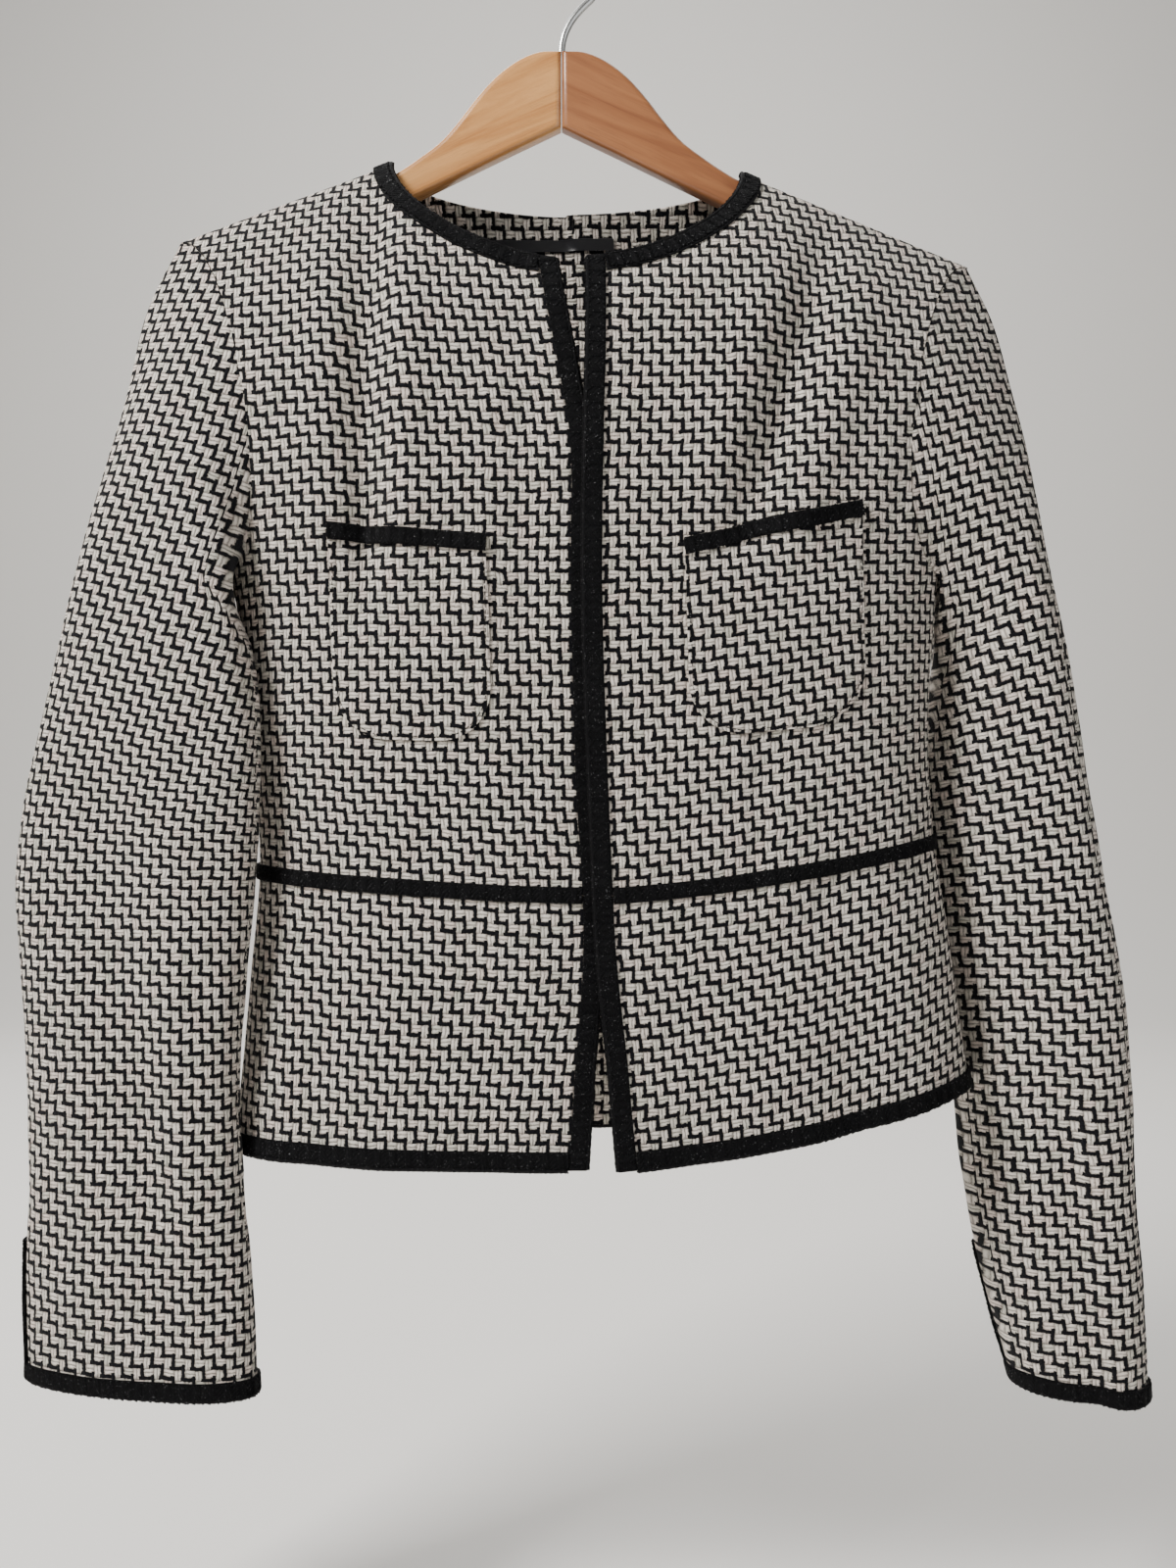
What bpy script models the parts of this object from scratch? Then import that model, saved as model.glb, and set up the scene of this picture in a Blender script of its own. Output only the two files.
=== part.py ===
"""Cropped tweed jacket, collarless and edged with braid, hung on a wooden hanger.

Metres, +Z up. The origin is the inside top of the hanger's hook, where a rail holds it, and
+Y is the jacket's back. Left and right are the wearer's, so the right front lies at -X.
A cloth piece is cut flat, with places given as across (along the cloth from the centre line)
and drop (down from the hook), and is then draped on the sections of the body. A sleeve is a
sheet rolled on rings. Braid and pockets are made from the faces they lie on, moved out.
"""

import math
from collections import namedtuple

import bpy
import numpy as np
from mathutils import Vector
from mathutils.geometry import delaunay_2d_cdt

NAME = "tweed_jacket_on_hanger"

# Cloth and braid
WALL = 0.002
GAP = 0.0003
BRAID = 0.0018
BRAID_WIDTH = 0.0095
WAIST_BRAID_WIDTH = 0.0086
SATIN = 0.0008
SEAM_INSET = 0.0002
SPACING = 0.020

# Body heights, as drops below the hook
WAIST = 0.509
HEM = 0.645
NECK_FRONT = 0.1885
NECK_BACK = 0.1474
NECK_ROUND = 1.8

# Shoulder dome: how far down the cloth takes to reach its full depth
FRONT_DOME = 0.115
BACK_DOME = 0.085
DOME_POWER = 0.75
FRONT_POWER = 2.6
BACK_POWER = 3.0
SECTION_STEPS = 160
SHOULDER_ROWS = (0.004, 0.011, 0.022)

# Front lap: the left front lies over the right one
LAP = 0.0026
LAP_REACH = 0.022

# Armhole and sleeves
ARMHOLE_SCOOP = 0.029
ARMHOLE_BACK_SCOOP = 0.020
ARMHOLE_SHIFT = 0.0017
UNDERARM_SHIFT = 0.0020
UNDERARM_SHARE = 0.55
RING_POINTS = 24
RING_ROWS = 16
RING_POWER = 2.3
SLEEVE_BLEND = 0.22
SLEEVE_CLEAR = 0.0018
VENT = 0.072
VENT_GAP = 0.0012

# Pockets
POCKET_WALL = 0.0016
POCKET_BRAID_HEIGHT = 0.0095

# Hanger
HANGER_THICK = 0.011
HANGER_ROUND = 0.003
HANGER_REACH = 0.188
HOOK_WIRE = 0.002
HOOK_RADIUS = 0.021
HOOK_STEM = 0.0617

Side = namedtuple("Side", "name sign neck_x neck_drop tip_x tip_drop underarm edge")
RIGHT = Side("right", -1, 0.0932, 0.1223, 0.2087, 0.1643, 0.345, "right_edge")
LEFT = Side("left", 1, 0.0932, 0.1276, 0.2113, 0.1775, 0.353, "left_edge")


def table(columns, rows):
    """A named column of numbers for each word of columns."""
    return dict(zip(columns.split(), (np.array(column, float) for column in zip(*rows))))


BODY = table("drop axis half front back", [
    (0.120, 0.0024, 0.262, 0.050, 0.036),
    (0.164, 0.0050, 0.258, 0.054, 0.037),
    (0.200, 0.0070, 0.250, 0.057, 0.037),
    (0.250, 0.0090, 0.228, 0.058, 0.037),
    (0.300, 0.0110, 0.202, 0.058, 0.037),
    (0.345, 0.0129, 0.188, 0.057, 0.036),
    (0.400, 0.0146, 0.181, 0.055, 0.035),
    (0.453, 0.0160, 0.178, 0.054, 0.034),
    (0.508, 0.0188, 0.178, 0.054, 0.034),
    (0.560, 0.0203, 0.184, 0.056, 0.036),
    (0.605, 0.0209, 0.189, 0.058, 0.037),
    (0.645, 0.0213, 0.194, 0.060, 0.038),
])

# Rise of each side seam above the level of the centre line
RISE = table("drop right left", [
    (0.200, 0.0000, 0.0000),
    (0.300, 0.0005, 0.0040),
    (0.400, 0.0040, 0.0150),
    (0.509, 0.0100, 0.0260),
    (0.645, 0.0010, 0.0340),
])

# Free edge of each front, measured to its own side of the centre line
EDGES = table("drop right_edge left_edge", [
    (0.180, 0.0090, 0.0072),
    (0.203, 0.0065, 0.0067),
    (0.240, 0.0010, 0.0050),
    (0.272, -0.0034, 0.0029),
    (0.355, -0.0013, -0.0013),
    (0.453, -0.0011, -0.0011),
    (0.540, -0.0010, -0.0008),
    (0.600, 0.0043, 0.0043),
    (0.645, 0.0076, 0.0078),
])

# Soft folds of the body: a line from one place to another, in distances on the front
FOLDS = {
    "right": table("across drop to_across to_drop width depth", [
        (0.105, 0.185, 0.112, 0.330, 0.012, 0.0045),
        (0.086, 0.200, 0.092, 0.300, 0.010, -0.0025),
        (0.060, 0.440, 0.085, 0.490, 0.012, 0.0020),
    ]),
    "left": table("across drop to_across to_drop width depth", [
        (0.128, 0.190, 0.086, 0.285, 0.013, 0.0040),
        (0.150, 0.205, 0.120, 0.300, 0.012, -0.0025),
        (0.092, 0.430, 0.084, 0.490, 0.010, 0.0020),
    ]),
    "back": table("across drop to_across to_drop width depth", [
        (0.115, 0.200, 0.090, 0.330, 0.016, 0.0030),
        (0.040, 0.380, 0.060, 0.500, 0.016, 0.0025),
    ]),
}

# Sleeve rings: the outer and inner end of each ring's long axis, and half its thickness
SLEEVES = {
    "right": table("outer_x outer_y outer_drop inner_x inner_y inner_drop thick", [
        (-0.2060, 0.000, 0.1643, -0.1754, 0.000, 0.3450, 0.032),
        (-0.2212, -0.001, 0.1955, -0.1770, -0.006, 0.3520, 0.033),
        (-0.2326, -0.003, 0.2470, -0.1690, -0.024, 0.3640, 0.032),
        (-0.2432, -0.005, 0.2985, -0.1600, -0.036, 0.3850, 0.029),
        (-0.2558, -0.006, 0.3501, -0.1560, -0.042, 0.4100, 0.026),
        (-0.2676, -0.007, 0.4016, -0.1545, -0.044, 0.4400, 0.023),
        (-0.2795, -0.008, 0.4531, -0.1550, -0.044, 0.4750, 0.022),
        (-0.2857, -0.009, 0.5046, -0.1575, -0.043, 0.5150, 0.021),
        (-0.2820, -0.010, 0.5561, -0.1625, -0.041, 0.5620, 0.021),
        (-0.2795, -0.010, 0.6077, -0.1655, -0.039, 0.6110, 0.020),
        (-0.2784, -0.010, 0.6592, -0.1630, -0.038, 0.6610, 0.020),
        (-0.2800, -0.010, 0.7107, -0.1590, -0.037, 0.7110, 0.020),
        (-0.2795, -0.010, 0.7643, -0.1564, -0.036, 0.7643, 0.019),
    ]),
    "left": table("outer_x outer_y outer_drop inner_x inner_y inner_drop thick", [
        (0.2163, 0.000, 0.1775, 0.2035, 0.000, 0.3530, 0.032),
        (0.2280, -0.003, 0.2050, 0.2065, 0.008, 0.3580, 0.034),
        (0.2364, -0.010, 0.2431, 0.2080, 0.018, 0.3660, 0.034),
        (0.2464, -0.018, 0.2956, 0.2070, 0.027, 0.3850, 0.031),
        (0.2540, -0.024, 0.3481, 0.2045, 0.034, 0.4050, 0.028),
        (0.2618, -0.028, 0.4006, 0.2020, 0.038, 0.4300, 0.025),
        (0.2694, -0.030, 0.4531, 0.2010, 0.039, 0.4700, 0.023),
        (0.2783, -0.031, 0.5056, 0.2050, 0.038, 0.5150, 0.022),
        (0.2876, -0.031, 0.5581, 0.2110, 0.037, 0.5620, 0.022),
        (0.2925, -0.030, 0.6106, 0.2200, 0.035, 0.6130, 0.022),
        (0.2951, -0.028, 0.6631, 0.2250, 0.033, 0.6650, 0.022),
        (0.3003, -0.025, 0.7156, 0.2345, 0.030, 0.7170, 0.022),
        (0.3049, -0.020, 0.7760, 0.2500, 0.024, 0.7760, 0.022),
    ]),
}

# Where the sleeve's seam lies round the ring, at the armhole and at the cuff (radians)
SLEEVE_SEAM = {"right": (-1.70, 0.16), "left": (-1.90, -3.05)}

# Folds of the sleeves: a line from one place to another, in turns round the ring and drops
SLEEVE_FOLDS = {
    "right": table("turn drop to_turn to_drop width depth", [
        (1.45, 0.480, 1.80, 0.640, 0.30, 0.0040),
        (1.60, 0.630, 1.90, 0.720, 0.25, 0.0025),
    ]),
    "left": table("turn drop to_turn to_drop width depth", [
        (1.55, 0.330, 1.35, 0.560, 0.30, 0.0030),
        (1.20, 0.640, 1.15, 0.776, 0.30, 0.0060),
    ]),
}

# Patch pockets: upper corners on the front, height and lower corner radius
POCKETS = {
    "right": {"inner": 0.0490, "outer": 0.1295, "inner_drop": 0.3285, "outer_drop": 0.3215,
              "bottom": 0.4335, "corner": 0.028},
    "left": {"inner": 0.0495, "outer": 0.1405, "inner_drop": 0.3313, "outer_drop": 0.3125,
             "bottom": 0.4335, "corner": 0.030},
}

LABEL = {"from": -0.044, "to": 0.024, "top": 0.1570, "bottom": 0.1645}

# Hanger arm outline from the centre outwards
HANGER = table("reach top bottom", [
    (0.000, 0.0620, 0.1030),
    (0.012, 0.0625, 0.1088),
    (0.024, 0.0675, 0.1145),
    (0.036, 0.0768, 0.1203),
    (0.046, 0.0880, 0.1252),
    (0.054, 0.0985, 0.1291),
    (0.063, 0.1090, 0.1335),
    (0.075, 0.1185, 0.1393),
    (0.090, 0.1285, 0.1466),
    (0.125, 0.1448, 0.1632),
    (0.160, 0.1609, 0.1770),
    (0.188, 0.1738, 0.1848),
])

COLOURS = {
    "tweed": ((0.62, 0.58, 0.53), 0.95, 0.0),
    "braid": ((0.012, 0.012, 0.015), 0.85, 0.0),
    "satin": ((0.010, 0.010, 0.012), 0.35, 0.0),
    "light_wood": ((0.55, 0.29, 0.12), 0.35, 0.0),
    "dark_wood": ((0.36, 0.16, 0.07), 0.45, 0.0),
    "steel": ((0.62, 0.62, 0.60), 0.25, 1.0),
}


# Reading tables

def read(at, stops, values):
    """Values of a column at each place, on a smooth curve through its rows."""
    at = np.asarray(at, float)
    slopes = np.gradient(values, stops)
    low = np.clip(np.searchsorted(stops, at) - 1, 0, len(stops) - 2)
    step = stops[low + 1] - stops[low]
    share = np.clip((at - stops[low]) / step, 0.0, 1.0)
    rest = 1.0 - share
    return (values[low] * rest * rest * (1 + 2 * share) + slopes[low] * step * share * rest * rest
            + values[low + 1] * share * share * (3 - 2 * share)
            - slopes[low + 1] * step * share * share * rest)


def read_rows(at, keys, values):
    """Values of each row's own table at that row's place."""
    high = np.clip((keys < at[:, None]).sum(1), 1, keys.shape[1] - 1)
    rows = np.arange(len(at))
    share = (at - keys[rows, high - 1]) / (keys[rows, high] - keys[rows, high - 1])
    return values[rows, high - 1] * (1 - share) + values[rows, high] * share


def smooth(share):
    """A step from 0 to 1 with level ends."""
    share = np.clip(share, 0.0, 1.0)
    return share * share * (3 - 2 * share)


def bounded(value, power):
    """A signed power, for the rounded squares of the sections."""
    return np.sign(value) * np.abs(value) ** power


# Body sections

def section(drop, back):
    """A quarter of the section at each drop: widths, depths and lengths along the cloth."""
    power = BACK_POWER if back else FRONT_POWER
    half = read(drop, BODY["drop"], BODY["half"])[:, None]
    depth = read(drop, BODY["drop"], BODY["back" if back else "front"])[:, None]
    turn = np.linspace(0.0, math.pi / 2, SECTION_STEPS)
    wide = half * np.sin(turn) ** (2 / power)
    deep = depth * np.cos(turn) ** (2 / power)
    steps = np.hypot(np.diff(wide, axis=1), np.diff(deep, axis=1))
    return wide, deep, np.hstack([np.zeros((len(drop), 1)), np.cumsum(steps, axis=1)])


def across_of(x, drop, back=False):
    """Distance along the cloth of a point x from the axis."""
    drop = np.atleast_1d(np.asarray(drop, float))
    wide, _, lengths = section(drop, back)
    return read_rows(np.broadcast_to(np.asarray(x, float), drop.shape), wide, lengths)


def side_across(drop, back=False):
    """Distance along the cloth from the centre line to the side seam."""
    return section(np.atleast_1d(np.asarray(drop, float)), back)[2][:, -1]


def shoulder_drop(x, side):
    """Drop of the shoulder line at a distance from the axis."""
    slope = (side.tip_drop - side.neck_drop) / (side.tip_x - side.neck_x)
    return side.neck_drop + slope * np.maximum(x - side.neck_x, 0.0)


def fold_depth(place, drop, folds, first):
    """Depth of a piece's soft folds at each place, from its table of fold lines."""
    total = np.zeros_like(place)
    for row in range(len(folds["width"])):
        start = np.array([folds[first][row], folds["drop"][row]])
        end = np.array([folds["to_" + first][row], folds["to_drop"][row]])
        along = np.clip((drop - start[1]) / (end[1] - start[1]), -0.4, 1.4)
        middle = start[0] + (end[0] - start[0]) * along
        fade = smooth((along + 0.4) / 0.4) * smooth((1.4 - along) / 0.4)
        total += folds["depth"][row] * fade * np.exp(-((place - middle) / folds["width"][row]) ** 2)
    return total


def drape_half(across, drop, side, back):
    """Points of one half of the body's cloth, with no thickness."""
    wide, deep, lengths = section(drop, back)
    x = np.sign(across) * read_rows(np.abs(across), lengths, wide)
    depth = np.maximum(read_rows(np.abs(across), lengths, deep), 0.0)
    under_shoulder = drop - shoulder_drop(np.abs(x), side)
    reach = BACK_DOME if back else FRONT_DOME
    dome = (1 - (1 - np.clip(under_shoulder / reach, 0.0, 1.0)) ** 2) ** DOME_POWER
    depth = depth * dome
    folds = FOLDS["back" if back else side.name]
    flat = dome * smooth((lengths[:, -1] - np.abs(across)) / 0.03)
    depth = depth - flat * fold_depth(np.abs(across), drop, folds, "across")
    if not back:
        depth = depth + side.sign * LAP * np.exp(-(across / LAP_REACH) ** 2)
    half = read(drop, BODY["drop"], BODY["half"])
    rise = read(drop, RISE["drop"], RISE[side.name]) * np.clip(np.abs(x) / half, 0, 1) ** 1.5
    axis = read(drop, BODY["drop"], BODY["axis"])
    depth = depth + SEAM_INSET
    return np.stack([axis + side.sign * x, depth if back else -depth, rise - drop], axis=1)


def drape(flat, side, back):
    """Points of the body's cloth; with no side given, across runs from right to left."""
    across, drop = flat[:, 0], flat[:, 1]
    if side is not None:
        return drape_half(across, drop, side, back)
    halves = [drape_half(np.maximum(across * half.sign, 0), drop, half, back) for half in (RIGHT, LEFT)]
    return np.where((across < 0)[:, None], halves[0], halves[1])


def is_seam(flat, side, back):
    """Whether each place is on a shoulder or side seam, where front and back share a normal."""
    across, drop = np.abs(flat[:, 0]), flat[:, 1]
    wide, _, lengths = section(drop, back)
    x = read_rows(across, lengths, wide)
    hits = across > lengths[:, -1] - 1e-5
    for half in (RIGHT, LEFT) if side is None else (side,):
        own = np.ones(len(flat), bool) if side is not None else flat[:, 0] * half.sign > 0
        hits |= own & (np.abs(drop - shoulder_drop(x, half)) < 1e-5) & (x > half.neck_x - 1e-4)
    return hits


def cloth_normals(flat, side, back):
    """Outward normals of the draped cloth, level across the shoulder and side seams."""
    step = 1e-4
    over = drape(flat + (step, 0), side, back) - drape(flat - (step, 0), side, back)
    down = drape(flat + (0, step), side, back) - drape(flat - (0, step), side, back)
    normals = np.cross(over, down)
    outward = 1.0 if back else -1.0
    normals *= outward * np.sign(normals[:, 1:2] + 1e-12 * outward)
    normals[is_seam(flat, side, back), 1] = 0.0
    return normals / np.linalg.norm(normals, axis=1)[:, None]


# Cutting flat pieces

def distances(points, line):
    """Distance of each point from a polyline."""
    start, end = line[:-1], line[1:]
    way = end - start
    length = np.maximum((way ** 2).sum(1), 1e-12)
    share = np.clip(((points[:, None] - start) * way).sum(2) / length, 0, 1)
    return np.linalg.norm(points[:, None] - start - share[:, :, None] * way, axis=2).min(1)


def inside(points, outline):
    """Whether each point is inside a closed outline."""
    ends = np.roll(outline, -1, axis=0)
    x, y = points[:, 0][:, None], points[:, 1][:, None]
    crosses = (outline[:, 1] > y) != (ends[:, 1] > y)
    rise = np.where(ends[:, 1] == outline[:, 1], 1e-12, ends[:, 1] - outline[:, 1])
    reach = outline[:, 0] + (y - outline[:, 1]) * (ends[:, 0] - outline[:, 0]) / rise
    return (crosses & (x < reach)).sum(1) % 2 == 1


def cut(outline, lines, spacing=SPACING):
    """Flat points and triangles of a piece, with edges along its outline and inner lines."""
    closed = np.vstack([outline, outline[:1]])
    low, high = outline.min(0), outline.max(0)
    counts = np.ceil((high - low) / spacing).astype(int) + 1
    grid = np.stack(np.meshgrid(*(np.linspace(low[i], high[i], counts[i]) for i in (0, 1))), -1)
    grid = grid.reshape(-1, 2)
    keep = inside(grid, outline)
    for line in [closed] + lines:
        keep &= distances(grid, line) > spacing * 0.45
    points = [grid[keep], outline]
    edges = []
    base = keep.sum()
    edges += [(base + i, base + (i + 1) % len(outline)) for i in range(len(outline))]
    base += len(outline)
    for line in lines:
        points.append(line)
        edges += [(base + i, base + i + 1) for i in range(len(line) - 1)]
        base += len(line)
    vectors = [Vector(point) for point in np.vstack(points)]
    corners, _, faces, _, _, _ = delaunay_2d_cdt(vectors, edges, [], 1, 1e-5)
    return np.array([tuple(corner) for corner in corners]), np.array([tuple(f) for f in faces])


def joined(*runs):
    """One outline from runs of points, without repeated ends."""
    points = np.vstack(runs)
    keep = np.linalg.norm(points - np.roll(points, -1, axis=0), axis=1) > 1e-5
    return points[keep]


def run(first, last, spacing=SPACING):
    """Evenly spaced numbers from first to last, both included."""
    return np.linspace(first, last, max(2, int(round(abs(last - first) / spacing)) + 1))


def columns(across, drop):
    """Flat places from matching columns of numbers, either of which may be one number."""
    return np.stack(np.broadcast_arrays(np.asarray(across, float), np.asarray(drop, float)), axis=1)


def armhole(side, back):
    """The armhole's x and drop from the shoulder tip to the underarm, one point a ring column."""
    turns = np.linspace(0, math.pi, RING_POINTS // 2 + 1)
    share = (1 - np.cos(turns)) / 2
    drop = side.tip_drop + (side.underarm - side.tip_drop) * share
    half = read(np.array([side.underarm]), BODY["drop"], BODY["half"])[0]
    scoop = ARMHOLE_BACK_SCOOP if back else ARMHOLE_SCOOP
    return side.tip_x + (half - side.tip_x) * share - scoop * np.sin(turns), drop


def neck_line(side, bottom, widen, start):
    """A line round the neck, from the shoulder line in to a place near the centre."""
    wide = side.neck_x + widen
    top = shoulder_drop(wide, side)
    low = bottom + widen
    turns = np.linspace(0, math.pi / 2, 13)
    x = wide * np.cos(turns) ** (2 / NECK_ROUND)
    drop = top + (low - top) * np.sin(turns) ** (2 / NECK_ROUND)
    keep = x > start + 0.004
    x, drop = x[keep], drop[keep]
    end_drop = top + (low - top) * (1 - (max(start, 0) / wide) ** NECK_ROUND) ** (1 / NECK_ROUND)
    return np.append(x, start), np.append(drop, end_drop)


def shoulder_lines(side, back):
    """Lines under the shoulder seam, close together where the cloth turns over the hanger."""
    x = run(side.neck_x + BRAID_WIDTH + 0.004, side.tip_x - 0.012)
    drops = [shoulder_drop(x, side) + under for under in SHOULDER_ROWS]
    return [columns(across_of(x, drop, back), drop) for drop in drops]


def edge_at(drop, side):
    """Free edge of a front at each drop."""
    return read(drop, EDGES["drop"], EDGES[side.edge])


def upper_outline(side, back, centre, end_drop, neck):
    """Outline from the waist at the side, up the seam, round the armhole, shoulder and neck."""
    seam_drops = np.append(end_drop, run(end_drop - WAIST_BRAID_WIDTH / 2, side.underarm))
    hole_x, hole_drop = armhole(side, back)
    top_x = run(side.tip_x, side.neck_x)
    neck_x, neck_drop = neck
    return joined(
        columns(side_across(seam_drops, back), seam_drops),
        columns(across_of(hole_x[::-1], hole_drop[::-1], back), hole_drop[::-1])[1:],
        columns(across_of(top_x, shoulder_drop(top_x, side), back), shoulder_drop(top_x, side)),
        columns(across_of(neck_x, neck_drop, back), neck_drop),
        centre)


def front_pattern(side):
    """Outline and inner lines of a front, from the neck to the waist seam."""
    low = WAIST - GAP / 2
    neck = neck_line(side, NECK_FRONT, 0.0, edge_at(NECK_FRONT, side))
    edge_drops = np.append(run(neck[1][-1], low - WAIST_BRAID_WIDTH / 2), low)
    edge = edge_at(edge_drops, side)
    edge[0] = across_of(neck[0][-1], neck[1][-1])[0]
    waist = columns(run(edge[-1] + BRAID_WIDTH, side_across(low)[0]), low)[:-1]
    band = low - WAIST_BRAID_WIDTH / 2
    outline = joined(columns(edge[-1], [low]), waist,
                     upper_outline(side, False, columns(edge, edge_drops)[:-1], low, neck))
    inner = neck_line(side, NECK_FRONT, BRAID_WIDTH, edge_at(NECK_FRONT, side) + BRAID_WIDTH)
    lines = [
        columns(edge + BRAID_WIDTH, edge_drops),
        columns(run(edge[-2] + BRAID_WIDTH, side_across(band)[0]), band),
        columns(across_of(inner[0], inner[1]), inner[1]),
        pocket_outline(side)[0],
        pocket_outline(side)[1],
        *shoulder_lines(side, False),
    ]
    return outline, lines


def pocket_outline(side):
    """A pocket's closed outline and the lower line of its braid."""
    size = POCKETS[side.name]
    top = columns(run(size["inner"], size["outer"]), run(0, 1, 1 / 4)[0])
    share = (top[:, 0] - size["inner"]) / (size["outer"] - size["inner"])
    top[:, 1] = size["inner_drop"] + (size["outer_drop"] - size["inner_drop"]) * share
    radius = size["corner"]
    turns = np.linspace(0, math.pi / 2, 5)
    outer = columns(size["outer"] - radius * (1 - np.cos(turns)),
                    size["bottom"] - radius * (1 - np.sin(turns)))
    inner = columns(size["inner"] + radius * (1 - np.sin(turns)),
                    size["bottom"] - radius * (1 - np.cos(turns)))
    braid = top + (0, POCKET_BRAID_HEIGHT)
    sides = columns([size["outer"]], size["outer_drop"] + 0.05)
    other = columns([size["inner"]], size["inner_drop"] + 0.05)
    closed = joined(top, braid[-1:], sides, outer, inner, other, braid[:1])
    return np.vstack([closed, closed[:1]]), braid


def skirt_pattern(side, back):
    """Outline and inner lines of a piece below the waist seam, for one side or the whole back."""
    drops = np.array([WAIST + GAP / 2, WAIST + (GAP + WAIST_BRAID_WIDTH) / 2, 0.545, 0.575, 0.606,
                      HEM - BRAID_WIDTH, HEM])
    seam = side_across(drops, back)
    edge = -seam if back else edge_at(drops, side)
    first = edge if back else edge + BRAID_WIDTH
    rows = [columns(run(first[row], seam[row]), drops[row]) for row in (0, 1, -2, -1)]
    outline = joined(columns(edge[:1], drops[:1]), rows[0], columns(seam, drops), rows[3][::-1],
                     columns(edge, drops)[::-1])
    lines = [rows[1], rows[2]] + ([] if back else [columns(first, drops)])
    return outline, lines


def back_pattern():
    """Outline and inner lines of the back, from the neck to the waist seam."""
    low = WAIST - GAP / 2
    halves = []
    inners = []
    for side in (LEFT, RIGHT):
        neck = neck_line(side, NECK_BACK, 0.0, 0.0)
        half = upper_outline(side, True, columns(0.0, [neck[1][-1]]), low, neck)
        inner = neck_line(side, NECK_BACK, BRAID_WIDTH, 0.0)
        inner = columns(across_of(inner[0], inner[1], True), inner[1])
        halves.append(half * (side.sign, 1))
        inners.append(inner * (side.sign, 1))
    band = low - WAIST_BRAID_WIDTH / 2
    seams = side_across(np.array([low, band]), True)
    bottom = columns(run(-seams[0], seams[0]), low)
    outline = joined(bottom, halves[0], halves[1][::-1])
    label = np.array([(LABEL["from"], LABEL["top"]), (LABEL["to"], LABEL["top"]),
                      (LABEL["to"], LABEL["bottom"]), (LABEL["from"], LABEL["bottom"]),
                      (LABEL["from"], LABEL["top"])])
    lines = [columns(run(-seams[1], seams[1]), band),
             np.vstack([inners[0], inners[1][::-1][1:]]), label]
    lines += [line * (side.sign, 1) for side in (LEFT, RIGHT) for line in shoulder_lines(side, True)]
    return outline, lines


# Sheets: points with normals, faces, and the flat places they came from

Sheet = namedtuple("Sheet", "flat points normals faces")


def draped_sheet(pattern, side, back):
    """A cloth piece cut from its pattern and draped on the body."""
    flat, faces = cut(*pattern)
    return faced(Sheet(flat, drape(flat, side, back), cloth_normals(flat, side, back), faces))


def faced(sheet):
    """The sheet with its faces turned one way in the flat, and that way its normals' way."""
    flat = sheet.flat[sheet.faces]
    first, second = flat[:, 1] - flat[:, 0], flat[:, 2] - flat[:, 0]
    faces = sheet.faces.copy()
    turned = first[:, 0] * second[:, 1] - first[:, 1] * second[:, 0] < 0
    faces[turned] = faces[turned][:, ::-1]
    corners = sheet.points[faces]
    outward = np.cross(corners[:, 1] - corners[:, 0], corners[:, 2] - corners[:, 0])
    against = (outward * sheet.normals[faces].sum(1)).sum() < 0
    return sheet._replace(faces=faces[:, ::-1] if against else faces)


def part_of(sheet, wanted):
    """The faces of a sheet whose middles a test on flat places accepts."""
    middles = sheet.flat[sheet.faces].mean(1)
    return sheet._replace(faces=sheet.faces[wanted(middles[:, 0], middles[:, 1])])


def merged(sheets, reach=0.0009):
    """Sheets joined into one, with the points that face each other across a seam made one."""
    base = np.cumsum([0] + [len(sheet.points) for sheet in sheets[:-1]])
    faces = np.vstack([sheet.faces + start for sheet, start in zip(sheets, base)])
    flat = np.vstack([sheet.flat for sheet in sheets])
    points = np.vstack([sheet.points for sheet in sheets])
    normals = np.vstack([sheet.normals for sheet in sheets])
    owner = np.repeat(np.arange(len(sheets)), [len(sheet.points) for sheet in sheets])
    used, faces = np.unique(faces, return_inverse=True)
    faces = faces.reshape(-1, 3)
    flat, points, normals, owner = flat[used], points[used], normals[used], owner[used]
    near = np.linalg.norm(points[:, None] - points[None], axis=2) < reach
    near &= owner[:, None] > owner[None]
    first = np.where(near.any(1), near.argmax(1), np.arange(len(points)))
    middles = (points + points[first]) / 2
    points[first] = np.where(near.any(1)[:, None], middles, points[first])
    kept, faces = np.unique(first[first][faces], return_inverse=True)
    faces = faces.reshape(-1, 3)
    return Sheet(flat[kept], points[kept], normals[kept], faces)


def border(faces):
    """The edges that only one face has, in that face's direction."""
    edges = {}
    for face in faces:
        for start, end in zip(face, np.roll(face, -1)):
            edges[(start, end)] = True
    return [edge for edge in edges if (edge[1], edge[0]) not in edges]


def inset(sheet, width):
    """The sheet with its border drawn in over its own faces."""
    points = sheet.points.copy()
    pull = np.zeros_like(points)
    middles = sheet.points[sheet.faces].mean(1)
    for corner in range(3):
        np.add.at(pull, sheet.faces[:, corner], middles - sheet.points[sheet.faces[:, corner]])
    rim = np.unique(np.array(border(sheet.faces)))
    normal = sheet.normals[rim]
    way = pull[rim] - normal * (pull[rim] * normal).sum(1)[:, None]
    points[rim] += way / np.linalg.norm(way, axis=1)[:, None] * width
    return sheet._replace(points=points)


def shell(sheet, wall, out=0.0):
    """Points and faces of a closed wall round a sheet, moved out along its normals.

    Solidify would tilt each piece's edge by that piece's faces alone, and seams would cross.
    """
    count = len(sheet.points)
    upper = sheet.points + sheet.normals * (out + wall / 2)
    lower = sheet.points + sheet.normals * (out - wall / 2)
    faces = [tuple(face) for face in sheet.faces]
    faces += [tuple(face[::-1] + count) for face in sheet.faces]
    faces += [(end, start, start + count, end + count) for start, end in border(sheet.faces)]
    return np.vstack([upper, lower]), faces


# Sleeves

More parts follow.
